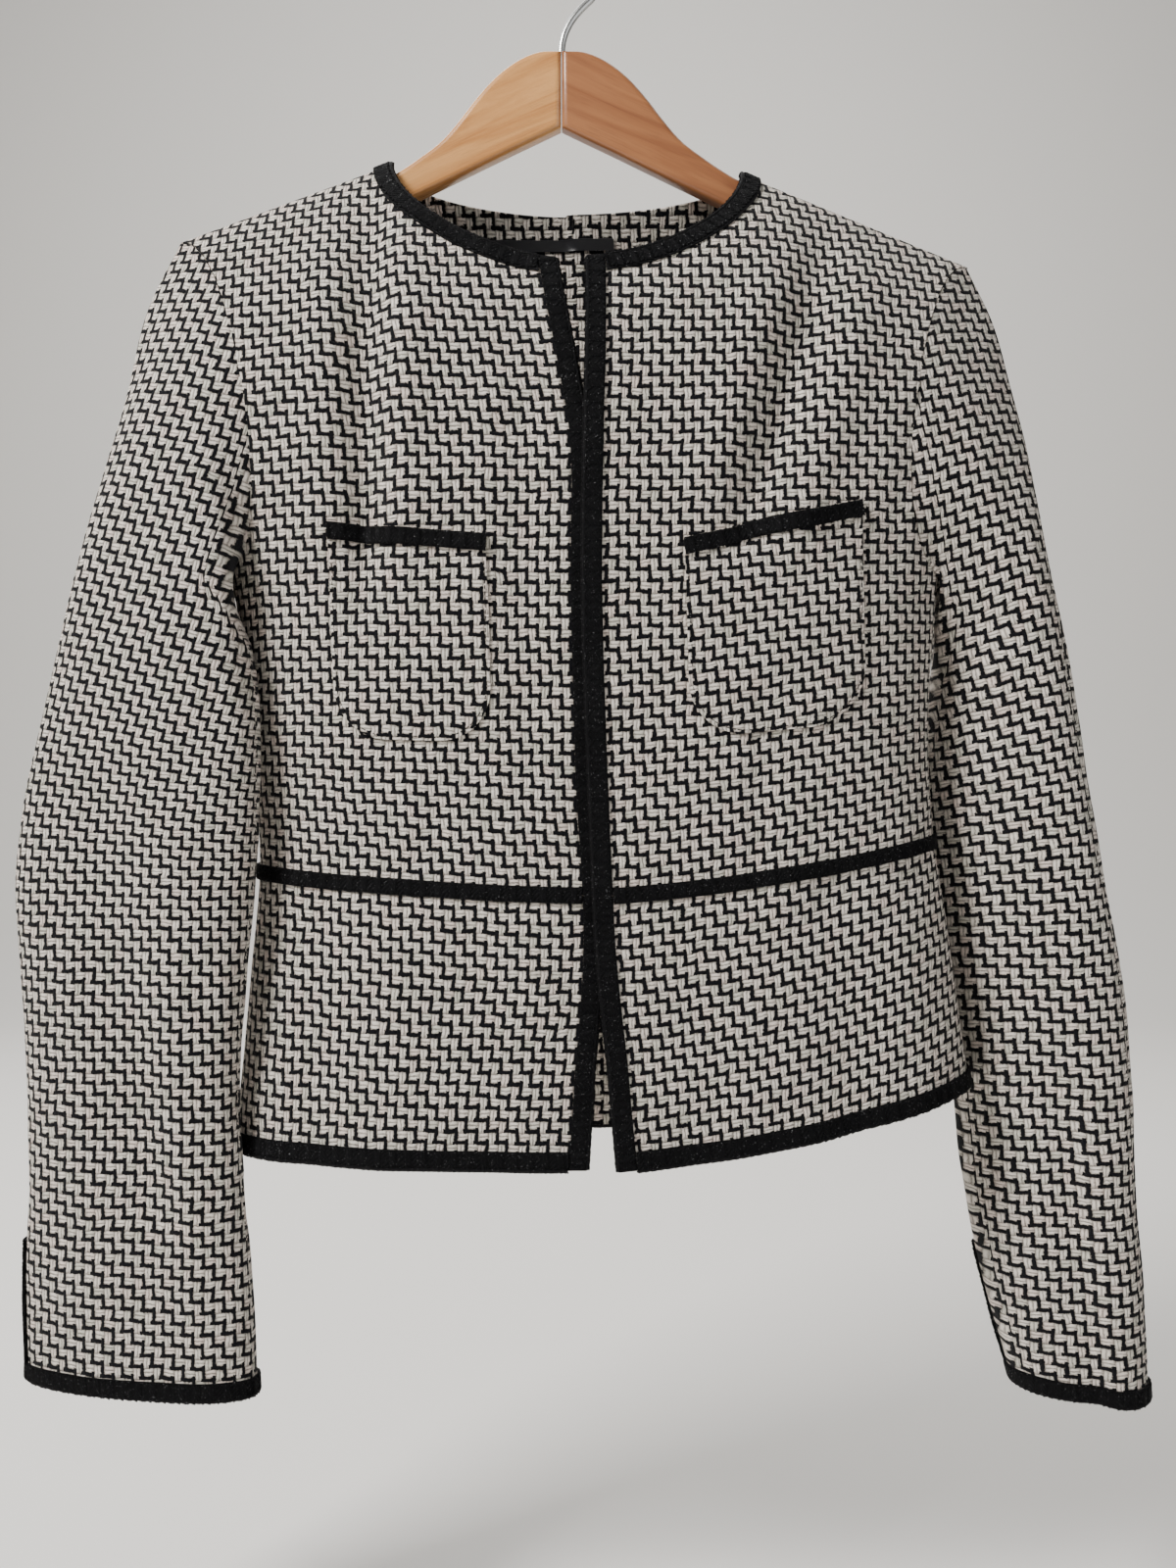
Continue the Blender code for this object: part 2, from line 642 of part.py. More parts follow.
def ring_tables(side, shares):
    """Ends, half thickness and middle of the sleeve's rings at shares of its length."""
    rows = SLEEVES[side.name]
    middle_x = (rows["outer_x"] + rows["inner_x"]) / 2
    middle_drop = (rows["outer_drop"] + rows["inner_drop"]) / 2
    steps = np.hypot(np.diff(middle_x), np.diff(middle_drop))
    along = np.concatenate([[0], np.cumsum(steps)])
    at = shares * along[-1]
    ends = []
    for end in ("outer", "inner"):
        x = read(at, along, rows[end + "_x"])
        y = read(at, along, rows[end + "_y"])
        z = -read(at, along, rows[end + "_drop"])
        ends.append(np.stack([x, y, z], axis=1))
    return ends[0], ends[1], read(at, along, rows["thick"]), along[-1]


def ring_points(turns, shares, side):
    """Points on the free rings: turn 0 is the outer end, and half a turn on is the inner one."""
    outer, inner, thick, _ = ring_tables(side, shares)
    axis = (outer - inner) / 2
    half = np.linalg.norm(axis, axis=1)[:, None]
    unit = axis / half
    deep = np.array([0.0, 1.0, 0.0]) - unit * unit[:, 1:2]
    deep /= np.linalg.norm(deep, axis=1)[:, None]
    power = 2 / RING_POWER
    wide = bounded(np.cos(turns), power)[:, None] * half
    out = bounded(np.sin(turns), power)
    drop = -(outer + inner)[:, 2] / 2
    places = np.mod(turns, 2 * math.pi)
    fold = fold_depth(places, drop, SLEEVE_FOLDS[side.name], "turn")
    return (outer + inner) / 2 + unit * wide - deep * (out * thick - fold)[:, None]


def armhole_ring(side):
    """Points and outward ways of the armhole, from the shoulder tip down the front and back up."""
    points = []
    normals = []
    for back in (False, True):
        x, drop = armhole(side, back)
        flat = columns(across_of(x, drop, back), drop)
        run_points = drape_half(flat[:, 0], flat[:, 1], side, back)
        run_normals = cloth_normals(flat * (side.sign if back else 1, 1), None if back else side, back)
        order = slice(None, -1) if not back else slice(None, 0, -1)
        points.append(run_points[order])
        normals.append(run_normals[order])
    points = np.vstack(points)
    normals = np.vstack(normals)
    tangents = np.roll(points, -1, axis=0) - np.roll(points, 1, axis=0)
    ways = np.cross(tangents, normals)
    ways /= np.linalg.norm(ways, axis=1)[:, None]
    quarter = RING_POINTS // 4
    if ways[quarter, 0] * side.sign < 0:
        ways = -ways
    half_turn = RING_POINTS / 2
    low = smooth(1 - np.abs(np.arange(RING_POINTS) - half_turn) / (half_turn * UNDERARM_SHARE))
    ways = ways * (1 - low)[:, None] + np.array([side.sign, 0, 0]) * low[:, None]
    ways /= np.linalg.norm(ways, axis=1)[:, None]
    return points + ways * (ARMHOLE_SHIFT + UNDERARM_SHIFT * low)[:, None]


def clear_of_body(points, side):
    """Points below the underarm moved out of the body where they would touch it."""
    drop = -points[:, 2]
    drop = drop + read(drop, RISE["drop"], RISE[side.name])
    half = read(drop, BODY["drop"], BODY["half"]) + SLEEVE_CLEAR + WALL
    axis = read(drop, BODY["drop"], BODY["axis"])
    x = points[:, 0] - axis
    depth = np.where(points[:, 1] < 0, read(drop, BODY["drop"], BODY["front"]),
                     read(drop, BODY["drop"], BODY["back"])) + SLEEVE_CLEAR + WALL
    power = np.where(points[:, 1] < 0, FRONT_POWER, BACK_POWER)
    depth = depth + np.where(points[:, 1] < 0, 0.004, 0.0)
    share = (np.abs(x / half) ** power + np.abs(points[:, 1] / depth) ** power) ** (1 / power)
    needed = np.where(share < 1, 1 / np.maximum(share, 0.3), 1.0)
    beside = smooth((drop - side.underarm + 0.010) / 0.012) * smooth((HEM + 0.04 - drop) / 0.03)
    needed = 1 + (needed - 1) * beside
    moved = points.copy()
    moved[:, 0] = axis + x * needed
    moved[:, 1] = points[:, 1] * needed
    return moved


def sleeve_points(turns, shares, side):
    """Points of a sleeve: the armhole ring carried over into the free rings."""
    free = ring_points(turns, shares, side)
    start = ring_points(turns, np.zeros_like(shares), side)
    ring = armhole_ring(side)
    closed = np.vstack([ring, ring[:1]])
    place = np.mod(turns, 2 * math.pi) / (2 * math.pi) * RING_POINTS
    known = np.arange(RING_POINTS + 1)
    seat = np.stack([np.interp(place, known, closed[:, i]) for i in range(3)], axis=1)
    hold = 1 - smooth(shares / SLEEVE_BLEND)
    return clear_of_body(free + (seat - start) * hold[:, None], side)


def sleeve_rows(length):
    """Shares of the sleeve's length at its rows, with rows at the vent and the cuff braid."""
    top = np.linspace(0, 1, RING_ROWS - 4) ** 1.25 * (1 - (VENT / length))
    low = [1 - VENT / length * 0.66, 1 - VENT / length * 0.33, 1 - BRAID_WIDTH / length, 1.0]
    return np.concatenate([top, low])


def sleeve_sheet(side):
    """A sleeve as a sheet rolled from its back seam right round to the seam again."""
    length = ring_tables(side, np.array([0.0]))[3]
    shares = sleeve_rows(length)
    first, last = SLEEVE_SEAM[side.name]
    seams = first + (last - first) * smooth(shares)
    outer, inner, thick, _ = ring_tables(side, shares)
    girth = 2.3 * np.linalg.norm(outer - inner, axis=1)
    open_by = np.where(shares > 1 - VENT / length + 1e-6, VENT_GAP, GAP + WALL * 0.2)
    half_gap = open_by / girth * math.pi
    part = np.linspace(0, 1, RING_POINTS + 1)
    turns = seams[:, None] + half_gap[:, None] + part * (2 * math.pi - 2 * half_gap[:, None])
    grid = np.broadcast_to(shares[:, None], turns.shape)
    flat_turns, flat_shares = turns.ravel(), grid.ravel()
    points = sleeve_points(flat_turns, flat_shares, side)
    step = 1e-3
    over = (sleeve_points(flat_turns + step, flat_shares, side)
            - sleeve_points(flat_turns - step, flat_shares, side))
    down = (sleeve_points(flat_turns, np.minimum(flat_shares + step, 1), side)
            - sleeve_points(flat_turns, np.maximum(flat_shares - step, 0), side))
    normals = np.cross(over, down) * side.sign
    normals /= np.linalg.norm(normals, axis=1)[:, None]
    wide = RING_POINTS + 1
    faces = []
    for row in range(len(shares) - 1):
        for column in range(RING_POINTS):
            corner = row * wide + column
            faces.append((corner, corner + 1, corner + wide + 1))
            faces.append((corner, corner + wide + 1, corner + wide))
    rows, places = np.indices(turns.shape)
    flat = np.stack([places.ravel(), rows.ravel()], axis=1).astype(float)
    return faced(Sheet(flat, points, normals, np.array(faces)))


# Objects

def material(name, slot):
    """A plain material of a slot's colour."""
    colour, roughness, metallic = COLOURS[slot]
    made = bpy.data.materials.new(name)
    made.use_nodes = True
    shader = made.node_tree.nodes["Principled BSDF"]
    shader.inputs["Base Color"].default_value = (*colour, 1.0)
    shader.inputs["Roughness"].default_value = roughness
    shader.inputs["Metallic"].default_value = metallic
    return made


def add_mesh(collection, name, slot, points, faces):
    """A mesh object with its own material, shaded smooth up to sharp edges."""
    mesh = bpy.data.meshes.new(name)
    mesh.from_pydata([tuple(point) for point in points], [], faces)
    mesh.materials.append(material(name, slot))
    mesh.shade_smooth()
    mesh.set_sharp_from_angle(angle=math.radians(50))
    made = bpy.data.objects.new(name, mesh)
    collection.objects.link(made)
    return made


def add_cloth(collection, name, sheet, slot="tweed", wall=WALL, out=0.0):
    """A cloth piece as a closed wall."""
    return add_mesh(collection, name, slot, *shell(sheet, wall, out))


def add_braid(collection, name, sheets, base=WALL / 2):
    """Braid made from the faces it lies on, moved out past them."""
    band = inset(merged(sheets), SEAM_INSET)
    return add_cloth(collection, name, band, "braid", BRAID, base + GAP + BRAID / 2)


def near_edge(side):
    """A test for places under a front's edge braid."""
    return lambda across, drop: across < edge_at(drop, side) + BRAID_WIDTH


def near_waist(across, drop):
    """A test for places under the waist braid."""
    return np.abs(drop - WAIST) < WAIST_BRAID_WIDTH / 2


def near_neck(sheet, bottom, side):
    """The faces of a sheet that lie under the neck braid."""
    def wanted(across, drop):
        result = np.zeros(len(across), bool)
        for half in (RIGHT, LEFT) if side is None else (side,):
            own = across * half.sign >= 0 if side is None else np.ones(len(across), bool)
            back = side is None
            x = read_rows(np.abs(across), *section(drop, back)[::-2])
            wide = half.neck_x + BRAID_WIDTH
            top = shoulder_drop(wide, half)
            low = bottom + BRAID_WIDTH
            share = np.clip(x / wide, 0, 1)
            line = top + (low - top) * (1 - share ** NECK_ROUND) ** (1 / NECK_ROUND)
            result |= own & (x < wide) & (drop < line)
        return result
    return part_of(sheet, wanted)


def build_body(collection):
    """Fronts, back and the pieces below the waist, with their braid, pockets and label."""
    fronts = {side.name: draped_sheet(front_pattern(side), side, False) for side in (RIGHT, LEFT)}
    skirts = {side.name: draped_sheet(skirt_pattern(side, False), side, False)
              for side in (RIGHT, LEFT)}
    back = draped_sheet(back_pattern(), None, True)
    back_skirt = draped_sheet(skirt_pattern(None, True), None, True)
    for side in (RIGHT, LEFT):
        add_cloth(collection, side.name + "_front", fronts[side.name])
        add_cloth(collection, side.name + "_front_skirt", skirts[side.name])
    add_cloth(collection, "back", back)
    add_cloth(collection, "back_skirt", back_skirt)

    neck = [near_neck(back, NECK_BACK, None)]
    waist = [part_of(back, near_waist), part_of(back_skirt, near_waist)]
    hem = [part_of(back_skirt, lambda across, drop: drop > HEM - BRAID_WIDTH)]
    for side in (RIGHT, LEFT):
        edge = near_edge(side)
        front, skirt = fronts[side.name], skirts[side.name]
        add_braid(collection, side.name + "_edge_braid", [part_of(front, edge), part_of(skirt, edge)])
        body = part_of(front, lambda across, drop: ~edge(across, drop))
        tail = part_of(skirt, lambda across, drop: ~edge(across, drop))
        neck.append(near_neck(body, NECK_FRONT, side))
        waist += [part_of(body, near_waist), part_of(tail, near_waist)]
        hem.append(part_of(tail, lambda across, drop: drop > HEM - BRAID_WIDTH))
        build_pocket(collection, side, front)
    add_braid(collection, "neck_braid", neck)
    add_braid(collection, "waist_braid", waist)
    add_braid(collection, "hem_braid", hem)

    strip = part_of(back, lambda across, drop: (across > LABEL["from"]) & (across < LABEL["to"])
                    & (drop > LABEL["top"]) & (drop < LABEL["bottom"]))
    add_cloth(collection, "neck_label", merged([strip]), "satin", SATIN,
              -(WALL / 2 + GAP + SATIN / 2))


def build_pocket(collection, side, front):
    """A patch pocket and the braid along its top, from the faces of the front."""
    outline = pocket_outline(side)[0]
    size = POCKETS[side.name]

    def in_pocket(across, drop):
        return inside(columns(across, drop), outline[:-1])

    def in_band(across, drop):
        share = (across - size["inner"]) / (size["outer"] - size["inner"])
        top = size["inner_drop"] + (size["outer_drop"] - size["inner_drop"]) * share
        return in_pocket(across, drop) & (drop < top + POCKET_BRAID_HEIGHT)

    pocket = part_of(front, in_pocket)
    out = WALL / 2 + GAP + POCKET_WALL / 2
    add_cloth(collection, side.name + "_pocket", merged([pocket]), "tweed", POCKET_WALL, out)
    add_braid(collection, side.name + "_pocket_braid", [part_of(front, in_band)],
              WALL / 2 + GAP + POCKET_WALL)


def build_sleeve(collection, side):
    """A sleeve with its cuff and vent braid."""
    sheet = sleeve_sheet(side)
    add_cloth(collection, side.name + "_sleeve", sheet)
    last = sheet.flat[:, 1].max()
    vent_column = 0 if side is RIGHT else RING_POINTS - 1

    def in_cuff(place, row):
        return (row > last - 1) & (np.floor(place) != vent_column)

    def in_vent(place, row):
        return (row > last - 4) & (np.floor(place) == vent_column)

    add_braid(collection, side.name + "_cuff_braid", [part_of(sheet, in_cuff)])
    add_braid(collection, side.name + "_vent_braid", [part_of(sheet, in_vent)])


def build_arm(collection, name, slot, sign):
    """Half of the hanger: a flat outline, extruded and rounded along its edges."""
    reach = np.concatenate([run(0.0002, 0.09, 0.0075), run(0.1, HANGER_REACH, 0.022)])
    top = read(reach, HANGER["reach"], HANGER["top"])
    bottom = read(reach, HANGER["reach"], HANGER["bottom"])
    middle = (top[-1] + bottom[-1]) / 2
    radius = (bottom[-1] - top[-1]) / 2
    turns = np.linspace(0, math.pi, 7)[1:-1]
    tip = columns(reach[-1] + radius * np.sin(turns), middle - radius * np.cos(turns))
    outline = np.vstack([columns(reach, top), tip, columns(reach, bottom)[::-1]])
    curve = bpy.data.curves.new(name, "CURVE")
    curve.dimensions = "2D"
    curve.fill_mode = "BOTH"
    curve.extrude = HANGER_THICK / 2 - HANGER_ROUND
    curve.bevel_depth = HANGER_ROUND
    curve.bevel_resolution = 1
    curve.offset = -HANGER_ROUND
    spline = curve.splines.new("POLY")
    spline.points.add(len(outline) - 1)
    for point, (x, drop) in zip(spline.points, outline):
        point.co = (sign * x, -drop, 0, 1)
    spline.use_cyclic_u = True
    curve.materials.append(material(name, slot))
    made = bpy.data.objects.new(name, curve)
    made.rotation_euler = (math.pi / 2, 0, 0)
    collection.objects.link(made)
    weld = made.modifiers.new("caps", "WELD")
    weld.merge_threshold = 0.00002
    return made


def build_hook(collection):
    """The wire hook: a stem that swings out to the left, round over the rail and down."""
    centre_z = HOOK_WIRE - HOOK_RADIUS
    start = math.radians(-48)
    meet = (HOOK_RADIUS * math.cos(start), centre_z + HOOK_RADIUS * math.sin(start))
    foot = -HOOK_STEM
    route = []
    for share in np.linspace(0, 1, 9)[:-1]:
        rest = 1 - share
        pull = (0.0, foot + 0.012)
        lean = (meet[0] + 0.010 * math.sin(start), meet[1] - 0.010 * math.cos(start))
        weights = (rest ** 3, 3 * rest * rest * share, 3 * rest * share * share, share ** 3)
        knots = ((0.0, foot), pull, lean, meet)
        route.append(tuple(sum(w * knot[i] for w, knot in zip(weights, knots)) for i in (0, 1)))
    for turn in np.linspace(start, math.radians(205), 26):
        route.append((HOOK_RADIUS * math.cos(turn), centre_z + HOOK_RADIUS * math.sin(turn)))
    curve = bpy.data.curves.new("hanger_hook", "CURVE")
    curve.dimensions = "3D"
    curve.bevel_depth = HOOK_WIRE
    curve.bevel_resolution = 2
    curve.use_fill_caps = True
    spline = curve.splines.new("POLY")
    spline.points.add(len(route) - 1)
    for point, (x, z) in zip(spline.points, route):
        point.co = (x, 0, z, 1)
    curve.materials.append(material("hanger_hook", "steel"))
    made = bpy.data.objects.new("hanger_hook", curve)
    collection.objects.link(made)
    return made


def main():
    for old in list(bpy.data.objects):
        bpy.data.objects.remove(old, do_unlink=True)
    collection = bpy.data.collections.new(NAME)
    bpy.context.scene.collection.children.link(collection)
    build_body(collection)
    for side in (RIGHT, LEFT):
        build_sleeve(collection, side)
    build_arm(collection, "hanger_right_arm", "light_wood", -1)
    build_arm(collection, "hanger_left_arm", "dark_wood", 1)
    build_hook(collection)


main()
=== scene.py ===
"""Cropped tweed jacket edged with zigzag braid, on a wooden hanger, as it looks.

Metres, +Z up, with the inside top of the hook at the origin and the jacket's back at +Y.
Left and right are the wearer's. A cloth piece is cut flat, with places given as across (along
the cloth from the centre line) and drop (down from the hook), and is draped on the body's
sections. The flat places are also its weave's coordinates, so the yarns follow the cloth.
"""

from __future__ import annotations

import logging
import math
from dataclasses import dataclass, field, replace
from enum import Enum
from typing import Callable, Iterable, Sequence

import bpy
import numpy as np
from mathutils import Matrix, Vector
from mathutils.geometry import delaunay_2d_cdt


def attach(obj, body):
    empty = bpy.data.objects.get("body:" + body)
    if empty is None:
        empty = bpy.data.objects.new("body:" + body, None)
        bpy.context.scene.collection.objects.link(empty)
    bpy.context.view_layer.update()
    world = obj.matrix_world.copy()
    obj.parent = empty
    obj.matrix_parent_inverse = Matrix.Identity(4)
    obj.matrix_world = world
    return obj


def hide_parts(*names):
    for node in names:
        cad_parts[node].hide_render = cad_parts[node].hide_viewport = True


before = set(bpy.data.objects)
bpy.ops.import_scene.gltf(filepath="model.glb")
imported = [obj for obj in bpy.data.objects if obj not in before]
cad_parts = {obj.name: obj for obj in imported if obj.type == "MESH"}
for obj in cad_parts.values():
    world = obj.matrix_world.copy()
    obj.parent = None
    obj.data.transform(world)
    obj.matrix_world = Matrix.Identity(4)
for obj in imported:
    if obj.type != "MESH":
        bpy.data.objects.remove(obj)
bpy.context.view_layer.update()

logging.basicConfig(level=logging.INFO, format="%(message)s")
LOG = logging.getLogger("jacket")

Array = np.ndarray
Test = Callable[[Array, Array], Array]

BODY_NAME = "root"

# The jacket's middle, where the camera and lights point
MIDDLE = (0.0142, 0.0, -0.4531)

# Cloth and braid
WALL = 0.002
GAP = 0.0003
BRAID_WIDTH = 0.0095
WAIST_BRAID_WIDTH = 0.0086
SATIN = 0.0006
SEAM_INSET = 0.0002
SPACING = 0.0038

# Body heights, as drops below the hook
WAIST = 0.509
HEM = 0.645
NECK_FRONT = 0.1885
NECK_BACK = 0.1425
NECK_ROUND = 1.8

# Shoulder dome
FRONT_DOME = 0.115
BACK_DOME = 0.085
DOME_POWER = 0.75
FRONT_POWER = 2.6
BACK_POWER = 3.0
SECTION_STEPS = 160

# Folds: how far past its ends one fades, and how wide the seams stay free of them
FOLD_FADE = 0.4
SEAM_FLAT = 0.03
RIPPLE = 0.00042

# Front lap
LAP = 0.0026
LAP_REACH = 0.022
EDGE_REACH = 0.12

# Armhole and sleeves
ARMHOLE_SCOOP = 0.029
ARMHOLE_BACK_SCOOP = 0.020
ARMHOLE_SHIFT = 0.0001
UNDERARM_SHIFT = 0.0004
UNDERARM_SHARE = 0.55
SEAT_POINTS = 24
RING_POWER = 2.3
SLEEVE_BLEND = 0.22
SLEEVE_CLEAR = 0.0018
VENT = 0.072
VENT_GAP = 0.0012

# Angles past which an edge is shaded sharp
CLOTH_SHARP = math.radians(50)
HANGER_SHARP = math.radians(35)

POCKET_WALL = 0.0014
POCKET_BRAID_HEIGHT = 0.0095


def table(columns: str, rows: Sequence[Sequence[float]]) -> dict[str, Array]:
    """Turn rows of numbers into named columns.

    Args:
        columns: The columns' names, with spaces between them.
        rows: One row for each section, fold or edge.

    Returns:
        A column of numbers for each name.
    """
    return dict(zip(columns.split(), (np.array(column, float) for column in zip(*rows))))


@dataclass(frozen=True)
class Side:
    """One side of the jacket, with its shoulder and underarm."""

    name: str
    sign: int
    neck_x: float
    neck_drop: float
    tip_x: float
    tip_drop: float
    underarm: float

    @property
    def edge(self) -> str:
        """Name of the side's column in the table of free edges."""
        return self.name + "_edge"


RIGHT = Side("right", -1, 0.0932, 0.1223, 0.2087, 0.1643, 0.345)
LEFT = Side("left", 1, 0.0932, 0.1276, 0.2113, 0.1775, 0.353)
SIDES = (RIGHT, LEFT)

BODY = table("drop axis half front back", [
    (0.120, 0.0024, 0.262, 0.050, 0.036),
    (0.164, 0.0050, 0.258, 0.054, 0.037),
    (0.200, 0.0070, 0.250, 0.057, 0.037),
    (0.250, 0.0090, 0.228, 0.058, 0.037),
    (0.300, 0.0110, 0.202, 0.058, 0.037),
    (0.345, 0.0129, 0.188, 0.057, 0.036),
    (0.400, 0.0146, 0.181, 0.055, 0.035),
    (0.453, 0.0160, 0.178, 0.054, 0.034),
    (0.508, 0.0188, 0.178, 0.054, 0.034),
    (0.560, 0.0203, 0.184, 0.056, 0.036),
    (0.605, 0.0209, 0.189, 0.058, 0.037),
    (0.645, 0.0213, 0.194, 0.060, 0.038),
])

RISE = table("drop right left", [
    (0.200, 0.0000, 0.0000),
    (0.300, 0.0005, 0.0040),
    (0.400, 0.0040, 0.0150),
    (0.509, 0.0100, 0.0260),
    (0.645, 0.0010, 0.0340),
])

EDGES = table("drop right_edge left_edge", [
    (0.180, 0.0090, 0.0072),
    (0.203, 0.0065, 0.0067),
    (0.240, 0.0010, 0.0050),
    (0.272, -0.0034, 0.0029),
    (0.355, -0.0013, -0.0013),
    (0.453, -0.0011, -0.0011),
    (0.540, -0.0010, -0.0008),
    (0.600, 0.0043, 0.0043),
    (0.645, 0.0076, 0.0078),
])

# Folds and small creases: from one place to another, trough above zero and ridge below it
FOLD_COLUMNS = "across drop to_across to_drop width depth"
FOLDS = {
    "right": table(FOLD_COLUMNS, [
        (0.104, 0.180, 0.110, 0.330, 0.011, 0.0105),
        (0.029, 0.190, 0.031, 0.410, 0.012, 0.0030),
        (0.083, 0.190, 0.090, 0.310, 0.012, -0.0040),
        (0.128, 0.200, 0.134, 0.310, 0.012, -0.0020),
        (0.060, 0.440, 0.085, 0.490, 0.012, 0.0020),
        (0.165, 0.260, 0.150, 0.325, 0.006, 0.0012),
        (0.040, 0.210, 0.052, 0.270, 0.007, 0.0007),
        (0.130, 0.350, 0.165, 0.370, 0.006, 0.0009),
        (0.079, 0.430, 0.080, 0.495, 0.004, 0.0010),
        (0.140, 0.530, 0.150, 0.640, 0.014, 0.0028),
        (0.060, 0.540, 0.055, 0.635, 0.016, 0.0018),
        (0.105, 0.560, 0.112, 0.640, 0.010, -0.0008),
    ]),
    "left": table(FOLD_COLUMNS, [
        (0.128, 0.185, 0.090, 0.300, 0.012, 0.0095),
        (0.150, 0.205, 0.114, 0.310, 0.012, -0.0035),
        (0.100, 0.190, 0.066, 0.290, 0.012, -0.0020),
        (0.092, 0.430, 0.084, 0.490, 0.010, 0.0020),
        (0.170, 0.275, 0.155, 0.345, 0.006, 0.0012),
        (0.035, 0.230, 0.060, 0.280, 0.007, 0.0007),
        (0.150, 0.440, 0.172, 0.470, 0.007, 0.0010),
        (0.084, 0.428, 0.080, 0.495, 0.004, 0.0011),
        (0.120, 0.530, 0.128, 0.640, 0.014, 0.0028),
        (0.055, 0.545, 0.048, 0.640, 0.015, 0.0018),
        (0.160, 0.550, 0.166, 0.630, 0.009, -0.0010),
    ]),
    "back": table(FOLD_COLUMNS, [
        (0.115, 0.200, 0.090, 0.330, 0.016, 0.0030),
        (0.040, 0.380, 0.060, 0.500, 0.016, 0.0025),
        (0.150, 0.230, 0.140, 0.320, 0.008, 0.0012),
        (0.105, 0.400, 0.120, 0.490, 0.009, 0.0010),
        (0.020, 0.200, 0.022, 0.300, 0.012, -0.0010),
        (0.090, 0.530, 0.094, 0.640, 0.012, 0.0014),
        (0.150, 0.540, 0.153, 0.635, 0.010, 0.0009),
        (0.035, 0.550, 0.030, 0.640, 0.014, -0.0009),
    ]),
}

SLEEVE_COLUMNS = "outer_x outer_y outer_drop inner_x inner_y inner_drop thick"
SLEEVES = {
    "right": table(SLEEVE_COLUMNS, [
        (-0.2060, 0.000, 0.1643, -0.1754, 0.000, 0.3450, 0.032),
        (-0.2212, -0.001, 0.1955, -0.1770, -0.006, 0.3520, 0.033),
        (-0.2326, -0.003, 0.2470, -0.1690, -0.024, 0.3640, 0.032),
        (-0.2432, -0.005, 0.2985, -0.1600, -0.036, 0.3850, 0.029),
        (-0.2558, -0.006, 0.3501, -0.1560, -0.042, 0.4100, 0.026),
        (-0.2676, -0.007, 0.4016, -0.1545, -0.044, 0.4400, 0.023),
        (-0.2795, -0.008, 0.4531, -0.1550, -0.044, 0.4750, 0.022),
        (-0.2857, -0.009, 0.5046, -0.1575, -0.043, 0.5150, 0.021),
        (-0.2820, -0.010, 0.5561, -0.1625, -0.041, 0.5620, 0.021),
        (-0.2795, -0.010, 0.6077, -0.1655, -0.039, 0.6110, 0.020),
        (-0.2784, -0.010, 0.6592, -0.1630, -0.038, 0.6610, 0.020),
        (-0.2800, -0.010, 0.7107, -0.1590, -0.037, 0.7110, 0.020),
        (-0.2795, -0.010, 0.7643, -0.1564, -0.036, 0.7643, 0.019),
    ]),
    "left": table(SLEEVE_COLUMNS, [
        (0.2163, 0.000, 0.1775, 0.2035, 0.000, 0.3530, 0.032),
        (0.2280, -0.003, 0.2050, 0.2065, 0.008, 0.3580, 0.034),
        (0.2364, -0.010, 0.2431, 0.2080, 0.018, 0.3660, 0.034),
        (0.2464, -0.018, 0.2956, 0.2070, 0.027, 0.3850, 0.031),
        (0.2540, -0.024, 0.3481, 0.2045, 0.034, 0.4050, 0.028),
        (0.2618, -0.028, 0.4006, 0.2020, 0.038, 0.4300, 0.025),
        (0.2694, -0.030, 0.4531, 0.2010, 0.039, 0.4700, 0.023),
        (0.2783, -0.031, 0.5056, 0.2050, 0.038, 0.5150, 0.022),
        (0.2876, -0.031, 0.5581, 0.2110, 0.037, 0.5620, 0.022),
        (0.2925, -0.030, 0.6106, 0.2200, 0.035, 0.6130, 0.022),
        (0.2951, -0.028, 0.6631, 0.2250, 0.033, 0.6650, 0.022),
        (0.3003, -0.025, 0.7156, 0.2345, 0.030, 0.7170, 0.022),
        (0.3049, -0.020, 0.7760, 0.2500, 0.024, 0.7760, 0.022),
    ]),
}

# Where a sleeve's seam lies round the ring at armhole and cuff, and its lean from upright there
SLEEVE_SEAM = {"right": (-1.70, 0.16), "left": (-1.90, -3.05)}
SLEEVE_LEAN = {"right": (0.25, 0.0), "left": (0.24, 0.09)}

SLEEVE_FOLD_COLUMNS = "turn drop to_turn to_drop width depth"
SLEEVE_FOLDS = {
    "right": table(SLEEVE_FOLD_COLUMNS, [
        (1.45, 0.480, 1.80, 0.640, 0.26, 0.0060),
        (1.60, 0.630, 1.90, 0.720, 0.25, 0.0025),
        (2.30, 0.400, 1.95, 0.460, 0.14, 0.0016),
        (0.80, 0.430, 1.15, 0.520, 0.16, 0.0012),
        (1.10, 0.250, 1.35, 0.360, 0.18, 0.0012),
        (2.10, 0.560, 2.30, 0.700, 0.14, -0.0010),
        (4.40, 0.420, 4.80, 0.560, 0.25, 0.0025),
        (5.10, 0.300, 4.90, 0.420, 0.20, 0.0014),
        (4.60, 0.600, 4.50, 0.730, 0.22, 0.0016),
    ]),
    "left": table(SLEEVE_FOLD_COLUMNS, [
        (1.55, 0.330, 1.35, 0.560, 0.30, 0.0030),
        (1.20, 0.640, 1.15, 0.776, 0.30, 0.0060),
        (2.20, 0.420, 1.90, 0.500, 0.16, 0.0014),
        (0.70, 0.300, 0.95, 0.420, 0.16, 0.0012),
        (0.75, 0.500, 0.60, 0.620, 0.15, -0.0010),
        (4.50, 0.420, 4.80, 0.570, 0.25, 0.0025),
        (5.00, 0.280, 4.80, 0.390, 0.20, 0.0014),
        (4.70, 0.610, 4.60, 0.740, 0.20, 0.0015),
    ]),
}

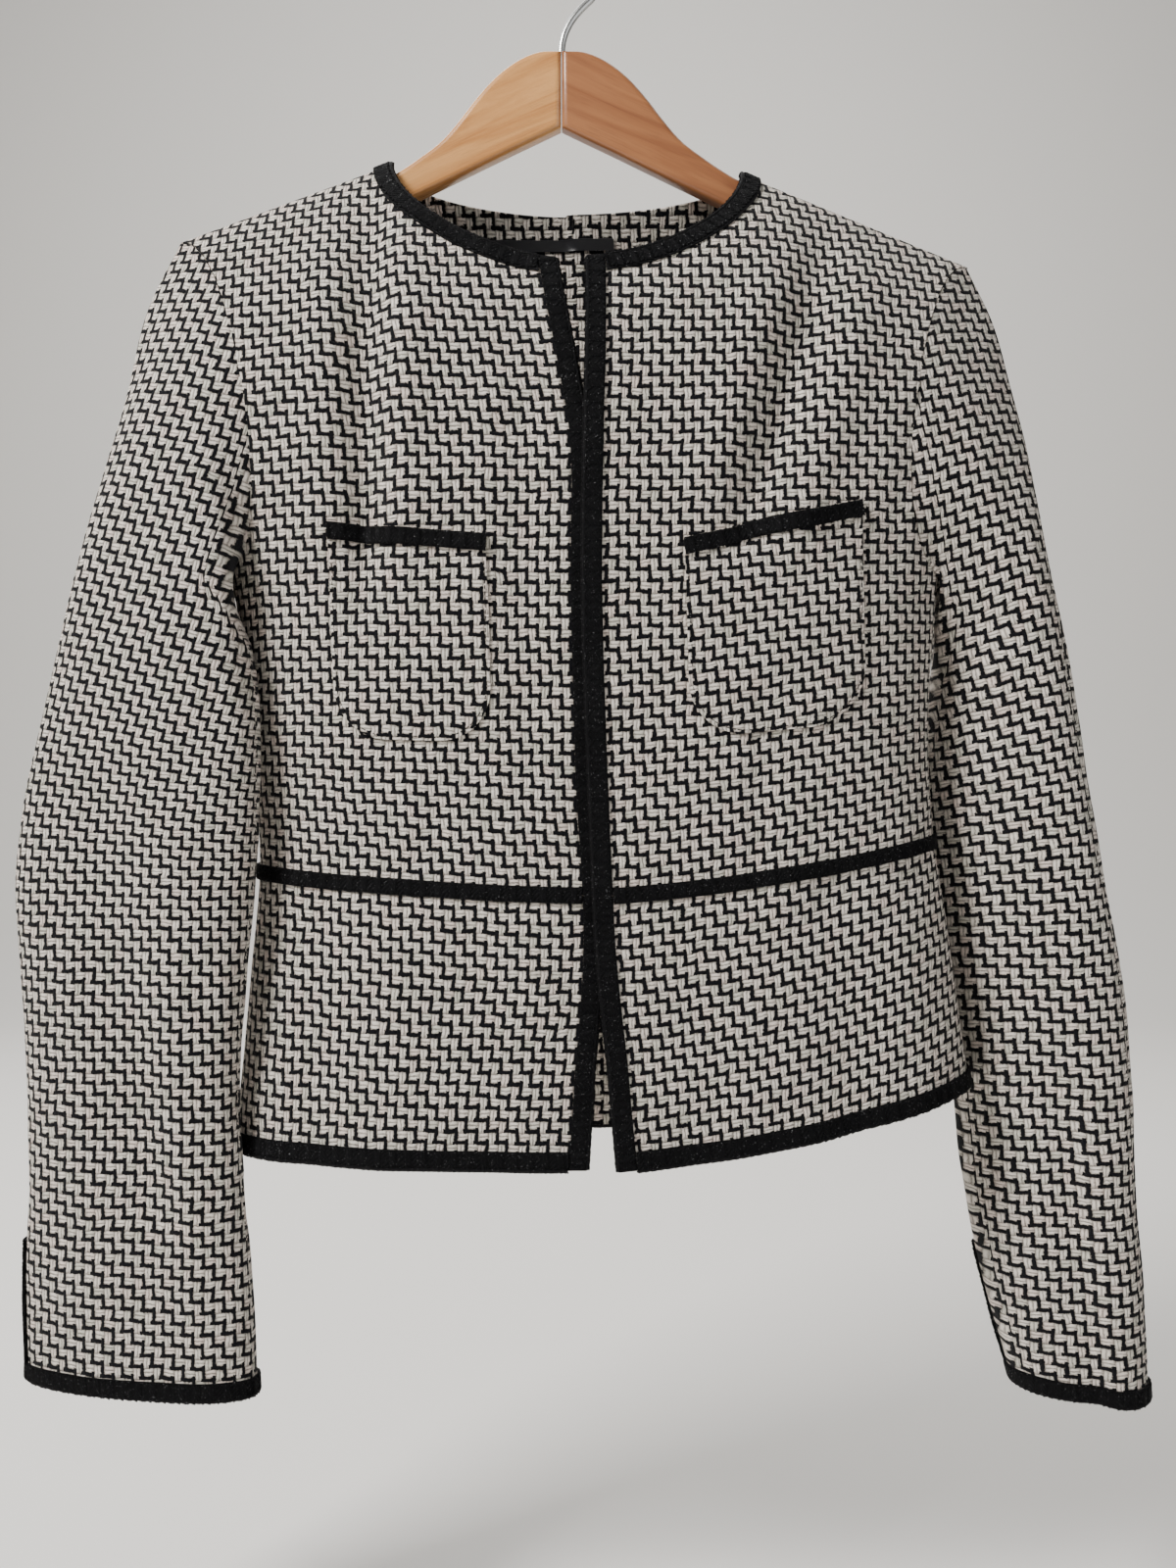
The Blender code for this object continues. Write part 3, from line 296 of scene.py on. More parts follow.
POCKETS = {
    "right": {"inner": 0.0490, "outer": 0.1295, "inner_drop": 0.3285, "outer_drop": 0.3215,
              "bottom": 0.4335, "corner": 0.028},
    "left": {"inner": 0.0495, "outer": 0.1405, "inner_drop": 0.3313, "outer_drop": 0.3125,
             "bottom": 0.4335, "corner": 0.030},
}

LABEL = {"from": -0.044, "to": 0.024, "top": 0.1524, "bottom": 0.1584}

HANGER = table("reach top bottom", [
    (0.000, 0.0620, 0.1030),
    (0.012, 0.0625, 0.1088),
    (0.024, 0.0675, 0.1145),
    (0.036, 0.0768, 0.1203),
    (0.046, 0.0880, 0.1252),
    (0.054, 0.0985, 0.1291),
    (0.063, 0.1090, 0.1335),
    (0.075, 0.1185, 0.1393),
    (0.090, 0.1285, 0.1466),
    (0.125, 0.1448, 0.1632),
    (0.160, 0.1609, 0.1770),
    (0.188, 0.1738, 0.1848),
])


# Reading tables

def read(at: Array | float, stops: Array, values: Array) -> Array:
    """Read a column on a smooth curve through its rows.

    Args:
        at: Where to read it.
        stops: The rows' own places.
        values: The rows' values.

    Returns:
        A value for each place.
    """
    at = np.asarray(at, float)
    slopes = np.gradient(values, stops)
    low = np.clip(np.searchsorted(stops, at) - 1, 0, len(stops) - 2)
    step = stops[low + 1] - stops[low]
    share = np.clip((at - stops[low]) / step, 0.0, 1.0)
    rest = 1.0 - share
    return (values[low] * rest * rest * (1 + 2 * share) + slopes[low] * step * share * rest * rest
            + values[low + 1] * share * share * (3 - 2 * share)
            - slopes[low + 1] * step * share * share * rest)


def read_rows(at: Array, keys: Array, values: Array) -> Array:
    """Read each row's own table at that row's place.

    Args:
        at: A place for each row.
        keys: Each row's rising keys.
        values: Each row's values.

    Returns:
        A value for each row.
    """
    high = np.clip((keys < at[:, None]).sum(1), 1, keys.shape[1] - 1)
    rows = np.arange(len(at))
    share = (at - keys[rows, high - 1]) / (keys[rows, high] - keys[rows, high - 1])
    return values[rows, high - 1] * (1 - share) + values[rows, high] * share


def smooth(share: Array | float) -> Array:
    """A step from 0 to 1 with level ends."""
    share = np.clip(share, 0.0, 1.0)
    return share * share * (3 - 2 * share)


def signed_power(value: Array, power: float) -> Array:
    """A power that keeps the sign."""
    return np.sign(value) * np.abs(value) ** power


def run(first: float, last: float, spacing: float = SPACING) -> Array:
    """Evenly spaced numbers from first to last, both included."""
    return np.linspace(first, last, max(2, int(round(abs(last - first) / spacing)) + 1))


def lengths_along(points: Array) -> Array:
    """Distance along a line at each of its points."""
    steps = np.linalg.norm(np.diff(points, axis=0), axis=1)
    return np.concatenate([[0], np.cumsum(steps)])


def columns(across: Array | float, drop: Array | float) -> Array:
    """Flat places from matching numbers, either of which may be one number."""
    return np.stack(np.broadcast_arrays(np.asarray(across, float), np.asarray(drop, float)), axis=1)


def between(at: Array, known: Array, values: Array) -> Array:
    """Rows read between known rows of values."""
    return np.stack([np.interp(at, known, column) for column in values.T], axis=1)


def unit(vectors: Array) -> Array:
    """Vectors made one unit long."""
    return vectors / np.maximum(np.linalg.norm(vectors, axis=1), 1e-12)[:, None]


def body(name: str, drop: Array) -> Array:
    """A column of the body's sections at each drop."""
    return read(drop, BODY["drop"], BODY[name])


def fold_depth(place: Array, drop: Array, folds: dict[str, Array], first: str) -> Array:
    """Depth of a piece's folds at each place.

    Args:
        place: Across, or turn round a sleeve.
        drop: Down from the hook.
        folds: The piece's table of fold lines.
        first: The name of the table's column for place.

    Returns:
        The depth into the cloth.
    """
    total = np.zeros_like(place)
    for row in range(len(folds["width"])):
        start, end = folds[first][row], folds["to_" + first][row]
        top, bottom = folds["drop"][row], folds["to_drop"][row]
        along = np.clip((drop - top) / (bottom - top), -FOLD_FADE, 1 + FOLD_FADE)
        fade = (smooth((along + FOLD_FADE) / FOLD_FADE)
                * smooth((1 + FOLD_FADE - along) / FOLD_FADE))
        middle = start + (end - start) * along
        total += folds["depth"][row] * fade * np.exp(-((place - middle) / folds["width"][row]) ** 2)
    return total


def ripple(first: Array, second: Array) -> Array:
    """Slight unevenness of hung cloth, about half a millimetre, over a few centimetres."""
    return RIPPLE * (np.sin(first * 118 + 1.3 * np.sin(second * 61)) * np.cos(second * 83 + 0.6)
                     + 0.7 * np.sin(second * 142 + 2.1 * np.cos(first * 47)))


class BodyForm:
    """The draped form of the fronts, back and skirts."""

    @staticmethod
    def section(drop: Array, back: bool) -> tuple[Array, Array, Array]:
        """Work out a quarter of the body's section at each drop.

        Args:
            drop: Down from the hook.
            back: Whether it is the back's quarter.

        Returns:
            Widths, depths and lengths along the cloth, a row for each drop.
        """
        power = BACK_POWER if back else FRONT_POWER
        half = body("half", drop)[:, None]
        depth = body("back" if back else "front", drop)[:, None]
        turn = np.linspace(0.0, math.pi / 2, SECTION_STEPS)
        wide = half * np.sin(turn) ** (2 / power)
        deep = depth * np.cos(turn) ** (2 / power)
        steps = np.hypot(np.diff(wide, axis=1), np.diff(deep, axis=1))
        return wide, deep, np.hstack([np.zeros((len(drop), 1)), np.cumsum(steps, axis=1)])

    @classmethod
    def across_of(cls, x: Array | float, drop: Array | float, back: bool = False) -> Array:
        """Distance along the cloth of a place x from the axis."""
        drop = np.atleast_1d(np.asarray(drop, float))
        wide, _, lengths = cls.section(drop, back)
        return read_rows(np.broadcast_to(np.asarray(x, float), drop.shape), wide, lengths)

    @classmethod
    def side_across(cls, drop: Array | float, back: bool = False) -> Array:
        """Distance along the cloth from the centre line to the side seam."""
        return cls.section(np.atleast_1d(np.asarray(drop, float)), back)[2][:, -1]

    @staticmethod
    def shoulder_drop(x: Array | float, side: Side) -> Array:
        """Drop of the shoulder line at a distance from the axis."""
        slope = (side.tip_drop - side.neck_drop) / (side.tip_x - side.neck_x)
        return side.neck_drop + slope * np.maximum(x - side.neck_x, 0.0)

    @classmethod
    def drape_half(cls, across: Array, drop: Array, side: Side, back: bool) -> Array:
        """Drape places of one half of the body.

        Args:
            across: Along the cloth from the centre line, to the side's own way.
            drop: Down from the hook.
            side: Which half.
            back: Whether it is the back.

        Returns:
            Points in space, in the middle of the cloth.
        """
        wide, deep, lengths = cls.section(drop, back)
        x = np.sign(across) * read_rows(np.abs(across), lengths, wide)
        depth = np.maximum(read_rows(np.abs(across), lengths, deep), 0.0)
        under = drop - cls.shoulder_drop(np.abs(x), side)
        reach = BACK_DOME if back else FRONT_DOME
        dome = (1 - (1 - np.clip(under / reach, 0.0, 1.0)) ** 2) ** DOME_POWER
        depth = depth * dome
        folds = FOLDS["back" if back else side.name]
        flat = dome * smooth((lengths[:, -1] - np.abs(across)) / SEAM_FLAT)
        crease = fold_depth(np.abs(across), drop, folds, "across")
        crease = crease + ripple(across * side.sign, drop)
        depth = depth - flat * crease
        if not back:
            depth = depth + side.sign * LAP * np.exp(-(across / LAP_REACH) ** 2)
        half = body("half", drop)
        rise = read(drop, RISE["drop"], RISE[side.name]) * np.clip(np.abs(x) / half, 0, 1) ** 1.5
        axis = body("axis", drop)
        depth = depth + SEAM_INSET
        return np.stack([axis + side.sign * x, depth if back else -depth, rise - drop], axis=1)

    @classmethod
    def drape(cls, flat: Array, side: Side | None, back: bool) -> Array:
        """Drape flat places; with no side given, across runs from right to left."""
        across, drop = flat[:, 0], flat[:, 1]
        if side is not None:
            return cls.drape_half(across, drop, side, back)
        halves = [cls.drape_half(np.maximum(across * half.sign, 0), drop, half, back)
                  for half in SIDES]
        return np.where((across < 0)[:, None], halves[0], halves[1])

    @classmethod
    def is_seam(cls, flat: Array, side: Side | None, back: bool) -> Array:
        """Whether each place is on a shoulder or side seam."""
        across, drop = np.abs(flat[:, 0]), flat[:, 1]
        wide, _, lengths = cls.section(drop, back)
        x = read_rows(across, lengths, wide)
        hits = across > lengths[:, -1] - 1e-5
        for half in SIDES if side is None else (side,):
            own = flat[:, 0] * half.sign > 0 if side is None else np.ones(len(flat), bool)
            level = np.abs(drop - cls.shoulder_drop(x, half)) < 1e-5
            hits |= own & level & (x > half.neck_x - 1e-4)
        return hits

    @classmethod
    def normals(cls, flat: Array, side: Side | None, back: bool) -> Array:
        """Outward normals of the draped cloth, level across the shoulder and side seams."""
        step = 1e-4
        over = cls.drape(flat + (step, 0), side, back) - cls.drape(flat - (step, 0), side, back)
        down = cls.drape(flat + (0, step), side, back) - cls.drape(flat - (0, step), side, back)
        normals = np.cross(over, down)
        outward = 1.0 if back else -1.0
        normals *= outward * np.sign(normals[:, 1:2] + 1e-12 * outward)
        normals[cls.is_seam(flat, side, back), 1] = 0.0
        return unit(normals)

    @staticmethod
    def edge_at(drop: Array | float, side: Side) -> Array:
        """Free edge of a front at each drop."""
        return read(drop, EDGES["drop"], EDGES[side.edge])

    @classmethod
    def weave_places(cls, flat: Array, side: Side | None) -> Array:
        """Weave coordinates: a front's yarns run along its free edge, not the centre line."""
        places = flat.copy()
        if side is not None:
            near = np.exp(-(flat[:, 0] / EDGE_REACH) ** 2)
            places[:, 0] = (flat[:, 0] - cls.edge_at(flat[:, 1], side) * near) * side.sign
        return places


# Cutting flat pieces

def distances(points: Array, line: Array) -> Array:
    """Distance of each point from a line of short runs."""
    best = np.full(len(points), 1e9)
    for start, end in zip(line[:-1], line[1:]):
        way = end - start
        length = max(float(way @ way), 1e-12)
        share = np.clip((points - start) @ way / length, 0, 1)
        gap = points - start - share[:, None] * way
        best = np.minimum(best, np.einsum("ij,ij->i", gap, gap))
    return np.sqrt(best)


def inside(points: Array, outline: Array) -> Array:
    """Whether each point is inside a closed outline."""
    result = np.zeros(len(points), bool)
    for start, end in zip(outline, np.roll(outline, -1, axis=0)):
        if start[1] == end[1]:
            continue
        crosses = (start[1] > points[:, 1]) != (end[1] > points[:, 1])
        reach = start[0] + (points[:, 1] - start[1]) * (end[0] - start[0]) / (end[1] - start[1])
        result ^= crosses & (points[:, 0] < reach)
    return result


def cut(outline: Array, lines: list[Array]) -> tuple[Array, Array]:
    """Fill an outline with small triangles that keep its edges and inner lines.

    Args:
        outline: The piece's closed outline.
        lines: Lines inside it that the triangles' edges follow.

    Returns:
        The flat points, and the triangles' corners.
    """
    closed = np.vstack([outline, outline[:1]])
    low, high = outline.min(0), outline.max(0)
    counts = np.ceil((high - low) / SPACING).astype(int) + 1
    grid = np.stack(np.meshgrid(*(np.linspace(low[i], high[i], counts[i]) for i in (0, 1))), -1)
    grid = grid.reshape(-1, 2)
    grid = grid[inside(grid, outline)]
    keep = np.ones(len(grid), bool)
    for line in [closed] + lines:
        keep &= distances(grid, line) > SPACING * 0.45
    points = [grid[keep], outline]
    base = int(keep.sum())
    edges = [(base + i, base + (i + 1) % len(outline)) for i in range(len(outline))]
    base += len(outline)
    for line in lines:
        points.append(line)
        edges += [(base + i, base + i + 1) for i in range(len(line) - 1)]
        base += len(line)
    vectors = [Vector(point) for point in np.vstack(points)]
    corners, _, faces, _, _, _ = delaunay_2d_cdt(vectors, edges, [], 1, 1e-5)
    return np.array([tuple(corner) for corner in corners]), np.array([tuple(f) for f in faces])


def joined(*runs: Array) -> Array:
    """One outline from runs of points, without repeated ends."""
    points = np.vstack(runs)
    return points[np.linalg.norm(points - np.roll(points, -1, axis=0), axis=1) > 1e-5]


def finer(line: Array) -> Array:
    """A line with points added so that none are further apart than the spacing."""
    parts = []
    for start, end in zip(line[:-1], line[1:]):
        count = max(1, int(math.ceil(np.linalg.norm(end - start) / SPACING)))
        parts.append(start + (end - start) * np.linspace(0, 1, count + 1)[:-1, None])
    return np.vstack(parts + [line[-1:]])


class Patterns:
    """The flat outlines and inner lines of the body's pieces."""

    @staticmethod
    def armhole(side: Side, back: bool, points: int = 64) -> tuple[Array, Array]:
        """The armhole's x and drop from the shoulder tip to the underarm."""
        turns = np.linspace(0, math.pi, points + 1)
        share = (1 - np.cos(turns)) / 2
        drop = side.tip_drop + (side.underarm - side.tip_drop) * share
        half = body("half", np.array([side.underarm]))[0]
        scoop = ARMHOLE_BACK_SCOOP if back else ARMHOLE_SCOOP
        return side.tip_x + (half - side.tip_x) * share - scoop * np.sin(turns), drop

    @staticmethod
    def neck_line(side: Side, bottom: float, widen: float, start: float,
                  points: int = 49) -> tuple[Array, Array]:
        """A line round the neck, from the shoulder seam in to a place near the centre.

        Args:
            side: Which half.
            bottom: Drop of the neck's lowest place.
            widen: How far outside the neck edge the line runs.
            start: The x where it ends near the centre.
            points: How many points it has.

        Returns:
            The line's x and drop.
        """
        wide = side.neck_x + widen
        top = BodyForm.shoulder_drop(wide, side)
        low = bottom + widen
        turns = np.linspace(0, math.pi / 2, points)
        x = wide * np.cos(turns) ** (2 / NECK_ROUND)
        drop = top + (low - top) * np.sin(turns) ** (2 / NECK_ROUND)
        keep = x > start + 0.0015
        ratio = (max(start, 0) / wide) ** NECK_ROUND
        end_drop = top + (low - top) * (1 - ratio) ** (1 / NECK_ROUND)
        return np.append(x[keep], start), np.append(drop[keep], end_drop)

    @classmethod
    def upper(cls, side: Side, back: bool, centre: Array, end_drop: float,
              neck: tuple[Array, Array]) -> Array:
        """Outline from the waist up the side seam and round the armhole, shoulder and neck."""
        seam_drops = np.append(end_drop, run(end_drop - WAIST_BRAID_WIDTH / 2, side.underarm))
        hole_x, hole_drop = cls.armhole(side, back)
        top_x = run(side.tip_x, side.neck_x)
        top_drop = BodyForm.shoulder_drop(top_x, side)
        neck_x, neck_drop = neck
        return joined(
            columns(BodyForm.side_across(seam_drops, back), seam_drops),
            columns(BodyForm.across_of(hole_x[::-1], hole_drop[::-1], back), hole_drop[::-1])[1:],
            columns(BodyForm.across_of(top_x, top_drop, back), top_drop),
            columns(BodyForm.across_of(neck_x, neck_drop, back), neck_drop),
            centre)

    @classmethod
    def front(cls, side: Side) -> tuple[Array, list[Array]]:
        """Outline and inner lines of a front, from the neck to the waist seam."""
        low = WAIST - GAP / 2
        neck = cls.neck_line(side, NECK_FRONT, 0.0, float(BodyForm.edge_at(NECK_FRONT, side)))
        band = low - WAIST_BRAID_WIDTH / 2
        edge_drops = np.append(run(neck[1][-1], band), low)
        edge = BodyForm.edge_at(edge_drops, side)
        edge[0] = BodyForm.across_of(neck[0][-1], neck[1][-1])[0]
        waist = columns(run(edge[-1] + BRAID_WIDTH, BodyForm.side_across(low)[0]), low)[:-1]
        outline = joined(columns(edge[-1], [low]), waist,
                         cls.upper(side, False, columns(edge, edge_drops)[:-1], low, neck))
        start = float(BodyForm.edge_at(NECK_FRONT, side)) + BRAID_WIDTH
        inner = cls.neck_line(side, NECK_FRONT, BRAID_WIDTH, start)
        pocket, braid = cls.pocket(side)
        lines = [
            columns(edge + BRAID_WIDTH, edge_drops),
            columns(run(edge[-2] + BRAID_WIDTH, BodyForm.side_across(band)[0]), band),
            columns(BodyForm.across_of(inner[0], inner[1]), inner[1]),
            pocket,
            braid,
        ]
        return outline, lines

    @staticmethod
    def pocket_top(size: dict[str, float], across: Array) -> Array:
        """Drop of a pocket's top at places across it."""
        share = (across - size["inner"]) / (size["outer"] - size["inner"])
        return size["inner_drop"] + (size["outer_drop"] - size["inner_drop"]) * share

    @classmethod
    def pocket(cls, side: Side) -> tuple[Array, Array]:
        """A pocket's closed outline and the lower line of its braid."""
        size = POCKETS[side.name]
        top = columns(run(size["inner"], size["outer"]), 0.0)
        top[:, 1] = cls.pocket_top(size, top[:, 0])
        radius = size["corner"]
        turns = np.linspace(0, math.pi / 2, 13)
        outer = columns(size["outer"] - radius * (1 - np.cos(turns)),
                        size["bottom"] - radius * (1 - np.sin(turns)))
        inner = columns(size["inner"] + radius * (1 - np.sin(turns)),
                        size["bottom"] - radius * (1 - np.cos(turns)))
        braid = top + (0, POCKET_BRAID_HEIGHT)
        closed = np.vstack([top, braid[-1:], outer, inner, braid[:1], top[:1]])
        return finer(closed), braid

    @staticmethod
    def skirt(side: Side | None, back: bool) -> tuple[Array, list[Array]]:
        """Outline and inner lines of a piece below the waist, for one front or the back."""
        band = WAIST + (GAP + WAIST_BRAID_WIDTH) / 2
        drops = np.concatenate([[WAIST + GAP / 2], run(band, HEM - BRAID_WIDTH), [HEM]])
        seam = BodyForm.side_across(drops, back)
        edge = -seam if side is None else BodyForm.edge_at(drops, side)
        first = edge if side is None else edge + BRAID_WIDTH
        rows = [columns(run(first[row], seam[row]), drops[row]) for row in (0, 1, -2, -1)]
        outline = joined(columns(edge[:1], drops[:1]), rows[0], columns(seam, drops),
                         rows[3][::-1], columns(edge, drops)[::-1])
        lines = [rows[1], rows[2]] + ([] if side is None else [columns(first, drops)])
        return outline, lines

    @classmethod
    def back(cls) -> tuple[Array, list[Array]]:
        """Outline and inner lines of the back, from the neck to the waist seam."""
        low = WAIST - GAP / 2
        halves, inners = [], []
        for side in (LEFT, RIGHT):
            neck = cls.neck_line(side, NECK_BACK, 0.0, 0.0)
            half = cls.upper(side, True, columns(0.0, [neck[1][-1]]), low, neck)
            inner = cls.neck_line(side, NECK_BACK, BRAID_WIDTH, 0.0)
            inner_line = columns(BodyForm.across_of(inner[0], inner[1], True), inner[1])
            halves.append(half * (side.sign, 1))
            inners.append(inner_line * (side.sign, 1))
        band = low - WAIST_BRAID_WIDTH / 2
        seams = BodyForm.side_across(np.array([low, band]), True)
        bottom = columns(run(-seams[0], seams[0]), low)
        outline = joined(bottom, halves[0], halves[1][::-1])
        corners = (("from", "top"), ("to", "top"), ("to", "bottom"), ("from", "bottom"),
                   ("from", "top"))
        label = finer(np.array([(LABEL[place], LABEL[drop]) for place, drop in corners]))
        lines = [columns(run(-seams[1], seams[1]), band),
                 np.vstack([inners[0], inners[1][::-1][1:]]), label]
        return outline, lines


class SleeveForm:
    """The hung form of a sleeve: its armhole ring carried over into free rings."""

    def __init__(self, side: Side) -> None:
        """Work out the sleeve's length and its seat in the armhole.

        Args:
            side: Which sleeve.
        """
        self.side = side
        rows = SLEEVES[side.name]
        middle_x = (rows["outer_x"] + rows["inner_x"]) / 2
        middle_drop = (rows["outer_drop"] + rows["inner_drop"]) / 2
        steps = np.hypot(np.diff(middle_x), np.diff(middle_drop))
        self.stops = np.concatenate([[0], np.cumsum(steps)])
        self.length = float(self.stops[-1])
        self.seat = self.armhole_ring()

    def ends(self, shares: Array) -> tuple[Array, Array, Array]:
        """Outer end, inner end and half thickness of the rings at shares of the length."""
        rows = SLEEVES[self.side.name]
        at = shares * self.length
        found = []
        for end in ("outer", "inner"):
            x = read(at, self.stops, rows[end + "_x"])
            y = read(at, self.stops, rows[end + "_y"])
            z = -read(at, self.stops, rows[end + "_drop"])
            found.append(np.stack([x, y, z], axis=1))
        return found[0], found[1], read(at, self.stops, rows["thick"])

    def ring_points(self, turns: Array, shares: Array) -> Array:
        """Points on the free rings, with the outer end at turn 0."""
        outer, inner, thick = self.ends(shares)
        axis = (outer - inner) / 2
        half = np.linalg.norm(axis, axis=1)[:, None]
        along = axis / half
        deep = unit(np.array([0.0, 1.0, 0.0]) - along * along[:, 1:2])
        wide = signed_power(np.cos(turns), 2 / RING_POWER)[:, None] * half
        out = signed_power(np.sin(turns), 2 / RING_POWER)
        drop = -(outer + inner)[:, 2] / 2
        places = np.mod(turns, 2 * math.pi)
        fold = fold_depth(places, drop, SLEEVE_FOLDS[self.side.name], "turn")
        facing = np.where(places < math.pi, 1.0, -1.0)
        fold = fold * facing + ripple(turns * 0.06, drop)
        return (outer + inner) / 2 + along * wide - deep * (out * thick - fold)[:, None]

    def armhole_ring(self) -> Array:
        """Points of the sleeve's seat, from the shoulder tip down the front and back up."""
        points, normals = [], []
        for back in (False, True):
            x, drop = Patterns.armhole(self.side, back, SEAT_POINTS // 2)
            flat = columns(BodyForm.across_of(x, drop, back), drop)
            draped = BodyForm.drape_half(flat[:, 0], flat[:, 1], self.side, back)
            signed = flat * (self.side.sign if back else 1, 1)
            facing = BodyForm.normals(signed, None if back else self.side, back)
            order = slice(None, 0, -1) if back else slice(None, -1)
            points.append(draped[order])
            normals.append(facing[order])
        ring, facing = np.vstack(points), np.vstack(normals)
        tangents = np.roll(ring, -1, axis=0) - np.roll(ring, 1, axis=0)
        ways = unit(np.cross(tangents, facing))
        if ways[SEAT_POINTS // 4, 0] * self.side.sign < 0:
            ways = -ways
        half_turn = SEAT_POINTS / 2
        place = np.abs(np.arange(SEAT_POINTS) - half_turn)
        low = smooth(1 - place / (half_turn * UNDERARM_SHARE))
        ways = unit(ways * (1 - low)[:, None] + np.array([self.side.sign, 0, 0]) * low[:, None])
        return ring + ways * (ARMHOLE_SHIFT + UNDERARM_SHIFT * low)[:, None]

    def clear_of_body(self, points: Array) -> Array:
        """Points below the underarm moved out of the body where they would touch it."""
        drop = -points[:, 2]
        drop = drop + read(drop, RISE["drop"], RISE[self.side.name])
        half = body("half", drop) + SLEEVE_CLEAR + WALL
        x = points[:, 0] - body("axis", drop)
        front = points[:, 1] < 0
        depth = np.where(front, body("front", drop), body("back", drop)) + SLEEVE_CLEAR + WALL
        power = np.where(front, FRONT_POWER, BACK_POWER)
        depth = depth + np.where(front, 0.004, 0.0)
        share = (np.abs(x / half) ** power + np.abs(points[:, 1] / depth) ** power) ** (1 / power)
        needed = np.where(share < 1, 1 / np.maximum(share, 0.3), 1.0)
        beside = smooth((drop - self.side.underarm + 0.010) / 0.012)
        needed = 1 + (needed - 1) * beside * smooth((HEM + 0.04 - drop) / 0.03)
        moved = points.copy()
        moved[:, 0] = points[:, 0] + x * (needed - 1)
        moved[:, 1] = points[:, 1] * needed
        return moved

    def points(self, turns: Array, shares: Array) -> Array:
        """Points of the sleeve at turns round it and shares of its length."""
        free = self.ring_points(turns, shares)
        start = self.ring_points(turns, np.zeros_like(shares))
        closed = np.vstack([self.seat, self.seat[:1]])
        place = np.mod(turns, 2 * math.pi) / (2 * math.pi) * SEAT_POINTS
        seat = between(place, np.arange(SEAT_POINTS + 1), closed)
        hold = 1 - smooth(shares / SLEEVE_BLEND)
        return self.clear_of_body(free + (seat - start) * hold[:, None])

    def normals(self, turns: Array, shares: Array) -> Array:
        """Outward normals of the sleeve."""
        step = 1e-3
        over = self.points(turns + step, shares) - self.points(turns - step, shares)
        down = (self.points(turns, np.minimum(shares + step, 1))
                - self.points(turns, np.maximum(shares - step, 0)))
        return unit(np.cross(over, down) * self.side.sign)

    def seam(self, shares: Array) -> Array:
        """Where the sleeve's seam lies round the ring."""
        first, last = SLEEVE_SEAM[self.side.name]
        return first + (last - first) * smooth(shares)


